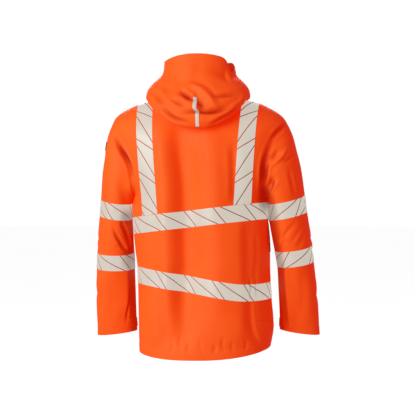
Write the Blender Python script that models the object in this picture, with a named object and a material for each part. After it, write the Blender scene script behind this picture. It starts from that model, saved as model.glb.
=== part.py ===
"""Hi-vis work jacket with a hood, in the form it has when worn, with no wearer inside.

Metres, +Z up. The wearer faces -Y, and +X is the wearer's left. The origin is at the base of the
neck, where the shoulders carry the jacket. Every panel is a wall of cloth on a surface worked out
from a short table of sections; the tapes are cut from the panels' own facets.
"""

import math

import bmesh
import bpy
import numpy as np
from mathutils import Matrix, Vector, kdtree

CLOTH = 0.002
SEAM_GAP = 0.0003
LIFT = 0.0003
TAPE = 0.0008
TAPE_WIDTH = 0.050
HOOD_SQUARENESS = 2.3
DIAGONALS_FOLLOW = (0.31, 0.17, 1.0)
DIAGONAL_TIE = 1e-6

# The torso's sections, from hem to neckline. half_width and middle_x give the sides, lean_z how
# much higher the left side is, and back_y and front_y how far the cloth stands from the middle.
TORSO_COLUMNS = "half_width middle_x side_z lean_z back_y back_z front_y front_z squareness"
TORSO = (
    (0.2040, -0.0115, -0.758, -0.009, 0.158, -0.773, 0.152, -0.712, 2.40),  # hem
    (0.2105, -0.0150, -0.695, -0.004, 0.155, -0.708, 0.152, -0.668, 2.30),
    (0.2070, -0.0105, -0.605, 0.000, 0.150, -0.610, 0.151, -0.590, 2.35),  # hip
    (0.2055, -0.0075, -0.520, 0.000, 0.146, -0.520, 0.150, -0.510, 2.40),
    (0.2105, -0.0015, -0.420, 0.000, 0.144, -0.420, 0.150, -0.415, 2.45),  # waist
    (0.2070, 0.0040, -0.345, 0.000, 0.146, -0.345, 0.151, -0.340, 2.60),
    (0.1965, 0.0030, -0.285, 0.000, 0.149, -0.285, 0.150, -0.285, 2.75),  # underarm
    (0.2200, 0.0030, -0.235, 0.000, 0.150, -0.245, 0.149, -0.240, 2.50),
    (0.2500, 0.0040, -0.166, 0.000, 0.149, -0.200, 0.147, -0.190, 2.35),
    (0.2660, 0.0055, -0.098, 0.000, 0.146, -0.155, 0.142, -0.150, 2.30),
    (0.2620, 0.0060, -0.047, 0.000, 0.140, -0.112, 0.132, -0.116, 2.30),  # shoulder tip
    (0.1900, 0.0050, -0.003, 0.000, 0.118, -0.050, 0.112, -0.078, 2.30),
    (0.0820, 0.0040, 0.030, 0.000, 0.078, 0.020, 0.078, -0.045, 2.30),  # neckline
)
HEM, UNDERARM, SHOULDER_TIP, NECKLINE = 0.0, 6.0, 10.0, 12.0
NECK_X = 0.004
ARMHOLE_ANGLE = math.radians(35)

# The sleeves' sections, from armhole to cuff: the outer and the inner edge seen from behind, with x
# measured from the middle outwards, and the tube's middle and half depth from front to back.
SLEEVE_COLUMNS = "outer_x outer_z inner_x inner_z middle_y half_depth"
SLEEVE_LEFT = (
    (0.268, -0.047, 0.1995, -0.285, 0.000, 0.088),  # armhole
    (0.288, -0.095, 0.2110, -0.288, 0.001, 0.092),
    (0.2985, -0.150, 0.2140, -0.303, 0.001, 0.092),
    (0.307, -0.208, 0.2150, -0.325, 0.000, 0.090),
    (0.312, -0.270, 0.2155, -0.352, -0.001, 0.086),
    (0.318, -0.335, 0.2155, -0.385, -0.004, 0.081),
    (0.326, -0.405, 0.2145, -0.430, -0.010, 0.075),  # elbow
    (0.331, -0.475, 0.2130, -0.480, -0.018, 0.068),
    (0.336, -0.545, 0.2130, -0.545, -0.029, 0.060),
    (0.339, -0.630, 0.2135, -0.625, -0.042, 0.051),
    (0.339, -0.735, 0.2125, -0.718, -0.057, 0.041),  # cuff
)
SLEEVE_RIGHT = (
    (0.256, -0.047, 0.1935, -0.285, 0.000, 0.088),  # armhole
    (0.280, -0.095, 0.2040, -0.287, 0.001, 0.092),
    (0.2945, -0.150, 0.2060, -0.298, 0.001, 0.092),
    (0.308, -0.208, 0.2065, -0.318, 0.000, 0.090),
    (0.317, -0.270, 0.2075, -0.345, -0.001, 0.086),
    (0.327, -0.335, 0.2125, -0.385, -0.004, 0.081),
    (0.338, -0.405, 0.2225, -0.440, -0.010, 0.075),  # elbow
    (0.346, -0.475, 0.2325, -0.490, -0.018, 0.068),
    (0.354, -0.545, 0.2365, -0.550, -0.029, 0.060),
    (0.361, -0.630, 0.2390, -0.620, -0.042, 0.051),
    (0.366, -0.722, 0.2410, -0.706, -0.057, 0.041),  # cuff
)
ARMHOLE_FADE = 5.0
CUFF = 10.0

# The hood's sections above the neckline: it stands, rolls over and droops behind as a bag, then
# rises to its rim. over_z lifts its forward quarters over the shoulders.
HOOD_COLUMNS = "half_width middle_y side_z back_y back_z front_y front_z over_z"
HOOD = (
    (0.082, 0.000, 0.030, 0.078, 0.020, 0.078, -0.045, 0.000),  # neckline
    (0.084, 0.001, 0.041, 0.081, 0.034, 0.082, -0.034, 0.002),
    (0.095, 0.006, 0.047, 0.095, 0.032, 0.086, -0.023, 0.006),
    (0.119, 0.024, 0.035, 0.127, -0.014, 0.090, -0.012, 0.016),
    (0.142, 0.045, 0.017, 0.146, -0.063, 0.094, 0.000, 0.032),
    (0.154, 0.052, 0.009, 0.163, -0.077, 0.097, 0.012, 0.034),  # bottom of the bag
    (0.158, 0.050, 0.022, 0.180, -0.052, 0.099, 0.024, 0.026),
    (0.151, 0.040, 0.045, 0.175, -0.008, 0.101, 0.036, 0.016),
    (0.133, 0.028, 0.066, 0.152, 0.030, 0.102, 0.047, 0.008),
    (0.115, 0.016, 0.084, 0.126, 0.062, 0.103, 0.058, 0.003),  # foot of the standing part
    (0.110, 0.008, 0.104, 0.106, 0.105, 0.104, 0.069, 0.001),
    (0.109, 0.003, 0.124, 0.093, 0.148, 0.105, 0.080, 0.000),  # rim
)
BAG_BOTTOM, RIM = 5.0, 11.0
# The rim on the wearer's right: a dip beside the nape and a flared corner in front of it.
RIM_COLUMNS = "angle_deg spread_deg down_z out_x"
RIM_BUMPS = ((160.0, 20.0, 0.026, -0.002), (196.0, 20.0, 0.010, -0.004))

# The body's broadest folds, as troughs between two points seen from behind or from the front.
FOLD_COLUMNS = "side x0 z0 x1 z1 half_width depth"
BODY_FOLDS = (
    (1, 0.066, -0.10, 0.062, -0.33, 0.020, 0.006),
    (1, 0.060, -0.37, 0.040, -0.62, 0.024, 0.006),
    (1, -0.128, -0.37, -0.122, -0.58, 0.016, 0.008),
    (1, -0.030, -0.14, -0.050, -0.36, 0.024, 0.004),
    (1, -0.070, -0.56, -0.062, -0.76, 0.022, 0.005),
    (1, 0.118, -0.58, 0.108, -0.77, 0.020, 0.005),
    (-1, 0.072, -0.16, 0.080, -0.42, 0.022, 0.005),
    (-1, -0.080, -0.20, -0.068, -0.46, 0.020, 0.006),
    (-1, 0.098, -0.46, 0.088, -0.68, 0.022, 0.006),
    (-1, -0.095, -0.50, -0.102, -0.67, 0.022, 0.005),
)

# Zip: half widths of the chain and of the gap between the fronts, and how far each tape reaches.
CHAIN_HALF = 0.0031
FRONT_GAP_HALF = 0.0045
ZIP_TAPE_REACH = 0.016
CHAIN_DEPTH = 0.0036
SLIDER_HEIGHT = 9.7

# Slider: half width, back, front and half height, measured from the cloth's outer face at the zip;
# its ears' near and far x, reach and half height; the hinge; and the pull tab's half sizes.
SLIDER = (0.0044, -0.0006, -0.0046, 0.0065)
EAR = (0.0018, 0.0030, 0.0078, 0.0022)
HINGE_Y = -0.0066
PULL_HALVES = (0.0014, 0.0032, 0.0006)
PULL_LENGTH = 0.030

# The reflective bands' middle height at x = 0 and their slopes, dz/dx all round and dz/dy behind.
# A band bends up again beyond bend_x, by bend times the distance squared.
BAND_COLUMNS = "middle_z slope_x slope_y bend_x bend"
BODY_BANDS = {
    "upper": (-0.356, -0.122, 0.080, -0.100, 0.0),
    "lower": (-0.561, 0.155, 0.080, -0.100, 1.4),
}
# The braces' middle lines, from the shoulder to the upper band.
BRACE_COLUMNS = "top_x top_z foot_x foot_z"
BRACES = {"left": (0.1645, -0.030, 0.1440, -0.330), "right": (-0.1530, -0.030, -0.1340, -0.330)}
SLEEVE_BAND_COLUMNS = "middle_x middle_z slope_x slope_y"
SLEEVE_BANDS = {
    ("left", "upper"): (0.262, -0.329, 0.130, -0.04),
    ("left", "lower"): (0.265, -0.493, 0.010, -0.06),
    ("right", "upper"): (-0.268, -0.320, -0.210, -0.04),
    ("right", "lower"): (-0.288, -0.472, -0.140, -0.06),
}
HOOD_STRIP_HALF = 0.0055
HOOD_STRIP_Z = (-0.070, 0.016)
CUFF_TAB = {"left": (-0.678, 0.240), "right": (-0.671, 0.270)}
CUFF_TAB_HEIGHT = 0.027
PATCH_Y, PATCH_Z = (-0.012, 0.046), (-0.146, -0.119)
PATCH_MIN_X = 0.25
VENT_LEVELS = (3.6, 5.75)
VENT_CLEARANCE = 0.0115

# The panels' grids. The hood's columns start at the torso's along the neckline, and the sleeves'
# columns at the torso's rows along the armhole. The narrow columns carry the vent and zip strips.
BACK_CELLS, FRONT_CELLS, ARMHOLE_CELLS = 20, 8, 9
BODY_ROWS = (0, 0.7, 1.4, 2.1, 2.9, 3.6, 4.3, 5.0, 5.75, 6)
SHOULDER_ROWS, LOWER_SLEEVE_ROWS = 5, 11
HOOD_PANEL_CELL = 7
HOOD_PANEL_ANGLE = math.pi * HOOD_PANEL_CELL / BACK_CELLS
ZIP_U = 0.06
VENT_U = 0.008

ORANGE = (0.95, 0.10, 0.012, 1)
ORANGE_DEEP = (0.80, 0.07, 0.010, 1)
SILVER = (0.66, 0.65, 0.61, 1)
BLACK = (0.012, 0.012, 0.014, 1)
GREY = (0.10, 0.10, 0.11, 1)

SIDES = (("left", 1, SLEEVE_LEFT), ("right", -1, SLEEVE_RIGHT))


def material(name, colour, roughness=0.8, metallic=0.0):
    made = bpy.data.materials.new(name)
    made.use_nodes = True
    surface = made.node_tree.nodes["Principled BSDF"]
    surface.inputs["Base Color"].default_value = colour
    surface.inputs["Roughness"].default_value = roughness
    surface.inputs["Metallic"].default_value = metallic
    return made


def add_object(name, mesh, look):
    mesh.materials.append(look)
    made = bpy.data.objects.new(name, mesh)
    bpy.context.collection.objects.link(made)
    return made


def unit(vectors):
    return vectors / np.maximum(np.linalg.norm(vectors, axis=-1, keepdims=True), 1e-12)


def section(table, level):
    """A table's columns at a fractional row number, on a smooth curve through its rows."""
    rows = np.array(table, float)
    rows = np.vstack((2 * rows[0] - rows[1], rows, 2 * rows[-1] - rows[-2]))
    level = np.asarray(level, float)
    start = np.clip(np.floor(level).astype(int), 0, len(table) - 2)
    f = (level - start)[..., None]
    before, here, after, beyond = (rows[start + k] for k in range(4))
    bend = 2 * before - 5 * here + 4 * after - beyond
    twist = 3 * (here - after) + beyond - before
    return np.moveaxis(here + 0.5 * f * (after - before + f * (bend + f * twist)), -1, 0)


def squared(values, squareness):
    """A cosine or sine, pushed outwards so that a ring is squarer than an ellipse."""
    return np.sign(values) * np.abs(values) ** (2 / squareness)


def torso_form(angle, level):
    """The torso without its folds. The angle runs from the left side round by the back."""
    half, middle, side_z, lean, back_y, back_z, front_y, front_z, square = section(TORSO, level)
    across, through = np.cos(angle), np.sin(angle)
    behind = through >= 0
    z = side_z * across**2 + np.where(behind, back_z, front_z) * through**2 + lean * across
    y = np.where(behind, back_y, front_y) * squared(through, square)
    return np.stack((middle + half * squared(across, square), y, z), axis=-1)


def fold_depth(points):
    """How far the folds sink the torso's points."""
    depth = np.zeros(points.shape[:-1])
    for side, x0, z0, x1, z1, half_width, deepest in BODY_FOLDS:
        line = np.array((x1 - x0, z1 - z0))
        from_start = np.stack((points[..., 0] - x0, points[..., 2] - z0), axis=-1)
        along = from_start @ line / (line @ line)
        away = (from_start @ np.array((-line[1], line[0]))) / math.hypot(*line)
        ends = np.clip(np.sin(np.clip(along, 0, 1) * math.pi), 0, None) ** 0.7
        on_side = np.clip(side * points[..., 1] / 0.05, 0, 1)
        depth += deepest * np.exp(-((away / half_width) ** 2)) * ends * on_side
    return depth


def torso(angle, level):
    points = torso_form(angle, level)
    inwards = -unit(points * (1, 1, 0))
    return points + inwards * fold_depth(points)[..., None]


def armhole_angle(level):
    """Where the armhole's edge lies at this level, measured from the side."""
    height = np.clip((level - UNDERARM) / (SHOULDER_TIP - UNDERARM), 0, 1)
    return ARMHOLE_ANGLE * np.sqrt(np.clip(4 * height * (1 - height), 0, 1))


def edge_angle(half_width, squareness, reach):
    """How far round from the middle of the front a point at this x lies."""
    return np.arcsin(np.clip(reach / half_width, 0, 1) ** (squareness / 2))


def back_angles(u, level):
    start = armhole_angle(level)
    return start + u * (math.pi - 2 * start)


def from_zip(u, half_width, squareness, last):
    """From the zip (u = 0) past the zip tape's edge (u = ZIP_U) to the last angle (u = 1)."""
    first = edge_angle(half_width, squareness, FRONT_GAP_HALF) - math.pi / 2
    taped = edge_angle(half_width, squareness, ZIP_TAPE_REACH) - math.pi / 2
    beyond = taped + (u - ZIP_U) / (1 - ZIP_U) * (last - taped)
    return np.where(u < ZIP_U, first + u / ZIP_U * (taped - first), beyond)


def front_angles(side):
    def angles(u, level):
        row = section(TORSO, level)
        angle = from_zip(u, row[0], row[-1], -armhole_angle(level))
        return angle if side > 0 else math.pi - angle

    return angles


def hood_side_angles(side):
    """As the front's columns up to the side of the neck (u = 1), then to the centre panel."""

    def angles(u, height):
        angle = from_zip(np.minimum(u, 1), section(HOOD, height)[0], HOOD_SQUARENESS, 0)
        angle = angle + np.maximum(u - 1, 0) * HOOD_PANEL_ANGLE
        return angle if side > 0 else math.pi - angle

    return angles


def hood_centre_angles(u, height):
    return HOOD_PANEL_ANGLE + u * (math.pi - 2 * HOOD_PANEL_ANGLE) + 0 * height


def sleeve_angles(around, along):
    return around + 0 * along


def armhole(side, around):
    """The armhole's edge. The angle starts at the shoulder tip and runs down the back."""
    height = (1 + np.cos(around)) / 2
    angle = ARMHOLE_ANGLE * np.sin(around)
    level = UNDERARM + (SHOULDER_TIP - UNDERARM) * height
    return torso(angle if side > 0 else math.pi - angle, level)


def sleeve_ring(side, table, around, along):
    outer_x, outer_z, inner_x, inner_z, middle_y, half_depth = section(table, along)
    cosine = np.cos(around)
    x = (outer_x + inner_x) / 2 + (outer_x - inner_x) / 2 * cosine
    z = (outer_z + inner_z) / 2 + (outer_z - inner_z) / 2 * cosine
    return np.stack((side * x, middle_y + half_depth * np.sin(around), z), axis=-1)


def sleeve(side, table):
    """A tube of rings that starts as the armhole's own curve."""

    def form(around, along):
        cut = armhole(side, around) - sleeve_ring(side, table, around, 0 * along)
        fade = np.clip(1 - along / ARMHOLE_FADE, 0, 1) ** 2
        return sleeve_ring(side, table, around, along) + cut * fade[..., None]

    return form


def hood(angle, height):
    half, middle_y, side_z, back_y, back_z, front_y, front_z, over_z = section(HOOD, height)
    across, through = np.cos(angle), np.sin(angle)
    behind = through >= 0
    reach = np.where(behind, back_y - middle_y, front_y + middle_y)
    z = side_z * across**2 + np.where(behind, back_z, front_z) * through**2
    z = z + np.where(behind, 0, over_z) * 4 * across**2 * through**2
    x = NECK_X + half * squared(across, HOOD_SQUARENESS)
    near_rim = np.clip((height - RIM + 3) / 3, 0, 1) ** 2
    turn = np.degrees(angle) % 360
    for middle, spread, down_z, out_x in RIM_BUMPS:
        bump = near_rim * np.exp(-(((turn - middle) / spread) ** 2))
        z = z - down_z * bump
        x = x - out_x * bump
    y = middle_y + reach * squared(through, HOOD_SQUARENESS)
    return np.stack((x, y, z), axis=-1)


class Panel:
    """A piece of cloth as a grid of outer points, each with the way into the cloth.

    The form gives a point for an angle and a level; the angles give each column's angle.
    """

    def __init__(self, name, form, angles, across, along, facing=1, closed=False):
        u, level = np.meshgrid(across, along)
        angle = angles(u, level)
        step = 1e-4
        run = form(angle + step, level) - form(angle - step, level)
        rise = form(angle, level + step) - form(angle, level - step)
        self.name = name
        self.points = form(angle, level)
        self.into = -facing * unit(np.cross(run, rise))
        self.closed = closed

    def part_from(self, line, neighbours):
        """Pulls an edge back by half the seam gap, square to the cut that both sides share."""
        points, into = self.points[line], self.into[line]
        if self.closed:
            run = np.roll(points, -1, axis=0) - np.roll(points, 1, axis=0)
        else:
            run = np.gradient(points, axis=0)
        pull = unit(np.cross(run, into))
        towards = np.sum(pull * (self.points[neighbours] - points), axis=-1, keepdims=True)
        return pull * np.sign(towards) * SEAM_GAP / 2

    def sew(self, *edges):
        """Parts the named edges from their neighbours."""
        lines = {
            "foot": (np.s_[0, :], np.s_[1, :]),
            "head": (np.s_[-1, :], np.s_[-2, :]),
            "start": (np.s_[:, 0], np.s_[:, 1]),
            "end": (np.s_[:, -1], np.s_[:, -2]),
        }
        pulls = [(lines[edge][0], self.part_from(*lines[edge])) for edge in edges]
        for line, pull in pulls:
            self.points[line] += pull


def share_cuts(panels):
    """Gives points that meet at a seam one way into the cloth, so the panels' edges are parallel."""
    points = np.concatenate([panel.points.reshape(-1, 3) for panel in panels])
    into = np.concatenate([panel.into.reshape(-1, 3) for panel in panels])
    tree = kdtree.KDTree(len(points))
    for index, point in enumerate(points):
        tree.insert(point, index)
    tree.balance()
    shared = np.array([into[[i for _, i, _ in tree.find_range(p, SEAM_GAP / 2)]].mean(0) for p in points])
    shared /= np.maximum(np.sum(shared**2, axis=-1, keepdims=True), 0.45)
    start = 0
    for panel in panels:
        count = panel.into.size // 3
        panel.into = shared[start : start + count].reshape(panel.into.shape)
        start += count


def solid_between(name, outer, inner, triangles, borders, look):
    """A closed wall from two like layers of points: the layers' triangles and a strip round each border.

    The strip's diagonals follow one direction in space, so both sides of a seam are cut alike.
    """
    count = len(outer)
    faces = [tuple(t) for t in triangles]
    faces += [(a + count, c + count, b + count) for a, b, c in triangles]
    order = outer @ np.array(DIAGONALS_FOLLOW)
    for a, b in borders:
        low, high = (a, b) if order[a] < order[b] else (b, a)
        faces += [(low, high, high + count), (low, high + count, low + count)]
    mesh = bpy.data.meshes.new(name)
    mesh.from_pydata([tuple(p) for p in np.concatenate((outer, inner))], [], faces)
    shape = bmesh.new()
    shape.from_mesh(mesh)
    bmesh.ops.recalc_face_normals(shape, faces=shape.faces)
    shape.to_mesh(mesh)
    shape.free()
    return add_object(name, mesh, look)


def grid_triangles(points, closed=False):
    """Two triangles for each cell of a grid of points, split along the cell's shorter diagonal."""
    rows, columns = points.shape[:2]
    index = np.arange(rows * columns).reshape(rows, columns).tolist()
    triangles = []
    for row in range(rows - 1):
        for column in range(columns if closed else columns - 1):
            after = (column + 1) % columns
            a, b, c, d = index[row][column], index[row][after], index[row + 1][after], index[row + 1][column]
            rising = np.linalg.norm(points[row + 1, after] - points[row, column])
            falling = np.linalg.norm(points[row + 1, column] - points[row, after])
            if rising < falling + DIAGONAL_TIE:
                triangles += [(a, b, c), (a, c, d)]
            else:
                triangles += [(a, b, d), (b, c, d)]
    return triangles


def grid_borders(rows, columns, closed=False):
    index = np.arange(rows * columns).reshape(rows, columns)
    lines = [index[0], index[-1]]
    if closed:
        lines = [np.append(line, line[0]) for line in lines]
    else:
        lines += [index[:, 0], index[:, -1]]
    return [(int(a), int(b)) for line in lines for a, b in zip(line, line[1:])]


def grid_solid(name, outer, inner, look, closed=False):
    rows, columns = outer.shape[:2]
    layers = outer.reshape(-1, 3), inner.reshape(-1, 3)
    triangles = grid_triangles(outer, closed)
    return solid_between(name, *layers, triangles, grid_borders(rows, columns, closed), look)


def panel_wall(panel, look):
    inner = panel.points + panel.into * CLOTH
    return grid_solid(panel.name, panel.points, inner, look, panel.closed)


def lay(name, panel, cuts, look, first_row=0, bend_x=0.0, bend=0.0):
    """A strip on a panel: the panel's own outer triangles, trimmed by planes and moved out.

    Each cut is a point and the direction that points away from the strip. A bent strip is trimmed
    with the bend taken out.
    """

    def rise(x):
        return bend * max(bend_x - x, 0) ** 2

    shape = bmesh.new()
    way_in = shape.verts.layers.float_vector.new("into")
    points, into = panel.points[first_row:], panel.into[first_row:]
    for (x, y, z), inwards in zip(points.reshape(-1, 3), into.reshape(-1, 3)):
        shape.verts.new((x, y, z - rise(x)))[way_in] = inwards
    shape.verts.ensure_lookup_table()
    for corners in grid_triangles(points, panel.closed):
        shape.faces.new([shape.verts[corner] for corner in corners])
    for point, away in cuts:
        everything = shape.verts[:] + shape.edges[:] + shape.faces[:]
        bmesh.ops.bisect_plane(
            shape, geom=everything, dist=2e-5, plane_co=point, plane_no=away, clear_outer=True
        )
    bmesh.ops.triangulate(shape, faces=shape.faces)
    shape.verts.index_update()
    base = np.array([vert.co + Vector((0, 0, rise(vert.co.x))) for vert in shape.verts])
    out = -np.array([vert[way_in] for vert in shape.verts])
    triangles = [tuple(vert.index for vert in face.verts) for face in shape.faces]
    borders = [tuple(vert.index for vert in edge.verts) for edge in shape.edges if edge.is_boundary]
    shape.free()
    return solid_between(name, base + out * (LIFT + TAPE), base + out * LIFT, triangles, borders, look)


def band_cuts(point, slope_x, slope_y, width=TAPE_WIDTH):
    """The two planes that trim a band, square across its middle plane."""
    up = Vector((-slope_x, -slope_y, 1)).normalized()
    middle = Vector(point)
    return [(middle + up * width / 2, up), (middle - up * width / 2, -up)]


def tape_look(name):
    return material(name, SILVER, 0.45)


def grids():
    """Each panel's columns, and the rows of the torso, the sleeves and the hood."""
    back = np.arange(BACK_CELLS + 1) / BACK_CELLS
    to_hood_panel = np.insert(back[: HOOD_PANEL_CELL + 1], 1, VENT_U)
    back_columns = np.sort(np.append(back, (VENT_U, 1 - VENT_U)))
    front_columns = np.append(0, np.linspace(ZIP_U, 1, FRONT_CELLS + 1))
    front_columns = np.insert(front_columns, -1, 1 - 2 * VENT_U)
    side_columns = np.append(front_columns, 1 + to_hood_panel[1:] / to_hood_panel[-1])
    centre_columns = np.linspace(0, 1, BACK_CELLS - 2 * HOOD_PANEL_CELL + 1)
    around = np.arange(2 * ARMHOLE_CELLS) * math.pi / ARMHOLE_CELLS
    armhole_rows = UNDERARM + (SHOULDER_TIP - UNDERARM) * (1 - np.cos(around[1:ARMHOLE_CELLS])) / 2
    shoulder_rows = np.linspace(SHOULDER_TIP, NECKLINE, SHOULDER_ROWS)
    torso_rows = np.concatenate((BODY_ROWS, armhole_rows, shoulder_rows))
    sleeve_rows = np.concatenate((np.arange(0, 3, 0.5), np.linspace(3, CUFF, LOWER_SLEEVE_ROWS)))
    hood_rows = np.concatenate((np.arange(0, 2, 0.5), np.arange(2, 4.1), np.arange(4.5, 6.1, 0.5)))
    hood_rows = np.append(hood_rows, np.arange(7, RIM + 0.1))
    return {
        "back": (back_columns, torso_rows),
        "front": (front_columns, torso_rows),
        "sleeve": (around, sleeve_rows),
        "hood_side": (side_columns, hood_rows),
        "hood_centre": (centre_columns, hood_rows),
    }


def make_panels():
    lines = grids()
    panels = {
        "back": Panel("back", torso, back_angles, *lines["back"]),
        "hood_centre": Panel("hood_centre", hood, hood_centre_angles, *lines["hood_centre"]),
    }
    for name, side, table in SIDES:
        front = Panel(f"front_{name}", torso, front_angles(side), *lines["front"])
        arm = sleeve(side, table)
        tube = Panel(f"sleeve_{name}", arm, sleeve_angles, *lines["sleeve"], facing=-side, closed=True)
        hood_side = Panel(f"hood_{name}", hood, hood_side_angles(side), *lines["hood_side"])
        panels.update({panel.name: panel for panel in (front, tube, hood_side)})
    share_cuts(panels.values())
    panels["back"].sew("start", "end", "head")
    panels["hood_centre"].sew("foot", "start", "end")
    for name, _, _ in SIDES:
        panels[f"front_{name}"].sew("end", "head")
        panels[f"sleeve_{name}"].sew("foot")
        panels[f"hood_{name}"].sew("foot", "end")
    return panels


def add_bands(panels):
    """Two bands round the body; the upper one stops at the vent zips."""
    for name, (middle_z, slope_x, slope_y, bend_x, bend) in BODY_BANDS.items():
        reach = VENT_CLEARANCE if name == "upper" else -1
        behind = (Vector((0, reach, 0)), Vector((0, -1, 0)))
        before = (Vector((0, -reach, 0)), Vector((0, 1, 0)))
        cuts = band_cuts((0, 0, middle_z), slope_x, slope_y) + [behind]
        look = tape_look(f"band_{name}_back")
        lay(f"band_{name}_back", panels["back"], cuts, look, 0, bend_x, bend)
        for side_name, _, _ in SIDES:
            node = f"band_{name}_front_{side_name}"
            cuts = band_cuts((0, 0, middle_z), slope_x, 0) + [before]
            lay(node, panels[f"front_{side_name}"], cuts, tape_look(node), 0, bend_x, bend)


def add_braces(panels):
    """From the upper band, over the shoulder seam, to the upper band again."""
    middle_z, slope_x, slope_y = BODY_BANDS["upper"][:3]
    for side_name, side, _ in SIDES:
        top_x, top_z, foot_x, foot_z = BRACES[side_name]
        top, foot = Vector((top_x, 0, top_z)), Vector((foot_x, 0, foot_z))
        outwards = (top - foot).cross(Vector((0, -side, 0))).normalized()
        edges = [(top + outwards * TAPE_WIDTH / 2, outwards), (top - outwards * TAPE_WIDTH / 2, -outwards)]
        for where, panel, slope in (("back", "back", slope_y), ("front", f"front_{side_name}", 0)):
            band_top = band_cuts((0, 0, middle_z), slope_x, slope, TAPE_WIDTH + 2 * LIFT)[0]
            above_band = (band_top[0], -band_top[1])
            node = f"brace_{where}_{side_name}"
            lay(node, panels[panel], edges + [above_band], tape_look(node))


def add_sleeve_tapes(panels):
    for (side_name, name), (x, z, slope_x, slope_y) in SLEEVE_BANDS.items():
        node = f"sleeve_band_{name}_{side_name}"
        lay(node, panels[f"sleeve_{side_name}"], band_cuts((x, 0, z), slope_x, slope_y), tape_look(node))


def add_trim(panels):
    """The hood's strip, the cuffs' tabs and the patch on the left sleeve."""
    low, high = HOOD_STRIP_Z
    cuts = [
        (Vector((HOOD_STRIP_HALF, 0, 0)), Vector((1, 0, 0))),
        (Vector((-HOOD_STRIP_HALF, 0, 0)), Vector((-1, 0, 0))),
        (Vector((0, 0, high)), Vector((0, 0, 1))),
        (Vector((0, 0, low)), Vector((0, 0, -1))),
    ]
    first_row = int(np.searchsorted(grids()["hood_centre"][1], BAG_BOTTOM))
    lay("hood_strip", panels["hood_centre"], cuts, tape_look("hood_strip"), first_row)
    for side_name, side, _ in SIDES:
        top_z, reach = CUFF_TAB[side_name]
        cuts = [
            (Vector((0, 0, top_z)), Vector((0, 0, 1))),
            (Vector((0, 0, top_z - CUFF_TAB_HEIGHT)), Vector((0, 0, -1))),
            (Vector((side * reach, 0, 0)), Vector((side, 0, 0))),
        ]
        node = f"cuff_tab_{side_name}"
        lay(node, panels[f"sleeve_{side_name}"], cuts, material(node, ORANGE_DEEP))
    cuts = [
        (Vector((0, PATCH_Y[1], 0)), Vector((0, 1, 0))),
        (Vector((0, PATCH_Y[0], 0)), Vector((0, -1, 0))),
        (Vector((0, 0, PATCH_Z[1])), Vector((0, 0, 1))),
        (Vector((0, 0, PATCH_Z[0])), Vector((0, 0, -1))),
        (Vector((PATCH_MIN_X, 0, 0)), Vector((-1, 0, 0))),
    ]
    lay("sleeve_patch", panels["sleeve_left"], cuts, material("sleeve_patch", BLACK))


def add_vents(panels):
    """A dark zip strip over each side seam, below the underarm."""
    rows = grids()["back"][1]
    span = np.flatnonzero((rows >= VENT_LEVELS[0] - 1e-6) & (rows <= VENT_LEVELS[1] + 1e-6))
    for side_name, side, _ in SIDES:
        back, front = panels["back"], panels[f"front_{side_name}"]
        edge, inside = (0, 1) if side > 0 else (-1, -2)
        columns = (front, -2), (back, edge), (back, inside)
        points = np.stack([panel.points[span, column] for panel, column in columns], axis=1)
        points[:, 1] = (points[:, 1] + front.points[span, -1]) / 2
        into = np.stack([panel.into[span, column] for panel, column in columns], axis=1)
        outer, inner = points - into * (LIFT + TAPE), points - into * LIFT
        node = f"vent_zip_{side_name}"
        grid_solid(node, outer, inner, material(node, BLACK, 0.6))


def zip_line(panels, side_name, column):
    """The points along a front's column from hem to rim, through the neck seam."""
    front, hood_side = panels[f"front_{side_name}"], panels[f"hood_{side_name}"]
    points = np.concatenate((front.points[:, column], hood_side.points[1:, column]))
    into = np.concatenate((front.into[:, column], hood_side.into[1:, column]))
    return points, into


def add_zip(panels):
    lines = grids()
    levels, heights = lines["back"][1], lines["hood_centre"][1][1:]
    middle = np.concatenate((torso(-math.pi / 2, levels), hood(-math.pi / 2, heights)))
    for side_name, side, _ in SIDES:
        edge, edge_into = zip_line(panels, side_name, 0)
        reach, reach_into = zip_line(panels, side_name, 1)
        at_chain = edge.copy()
        at_chain[:, 0] = middle[:, 0] + side * (CHAIN_HALF + SEAM_GAP)
        points = np.stack((at_chain, edge, reach), axis=1)
        into = np.stack((edge_into, edge_into, reach_into), axis=1)
        outer = points + into * (CLOTH + LIFT)
        node = f"zip_tape_{side_name}"
        grid_solid(node, outer, outer + into * TAPE, material(node, BLACK))
    into = unit(zip_line(panels, "left", 0)[1] * (0, 1, 1))[:, None]
    across = np.array(((-CHAIN_HALF, 0, 0), (CHAIN_HALF, 0, 0)))
    outer = middle[:, None] + across - into * SEAM_GAP
    inner = outer + into * CHAIN_DEPTH
    grid_solid("zip_chain", outer, inner, material("zip_chain", GREY, 0.5))


def block(shape, low, high):
    """A box between two corners, added to the shape."""
    made = bmesh.ops.create_cube(shape, size=1)["verts"]
    size = Vector(high) - Vector(low)
    bmesh.ops.scale(shape, vec=size, verts=made)
    bmesh.ops.translate(shape, vec=(Vector(low) + Vector(high)) / 2, verts=made)


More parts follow.
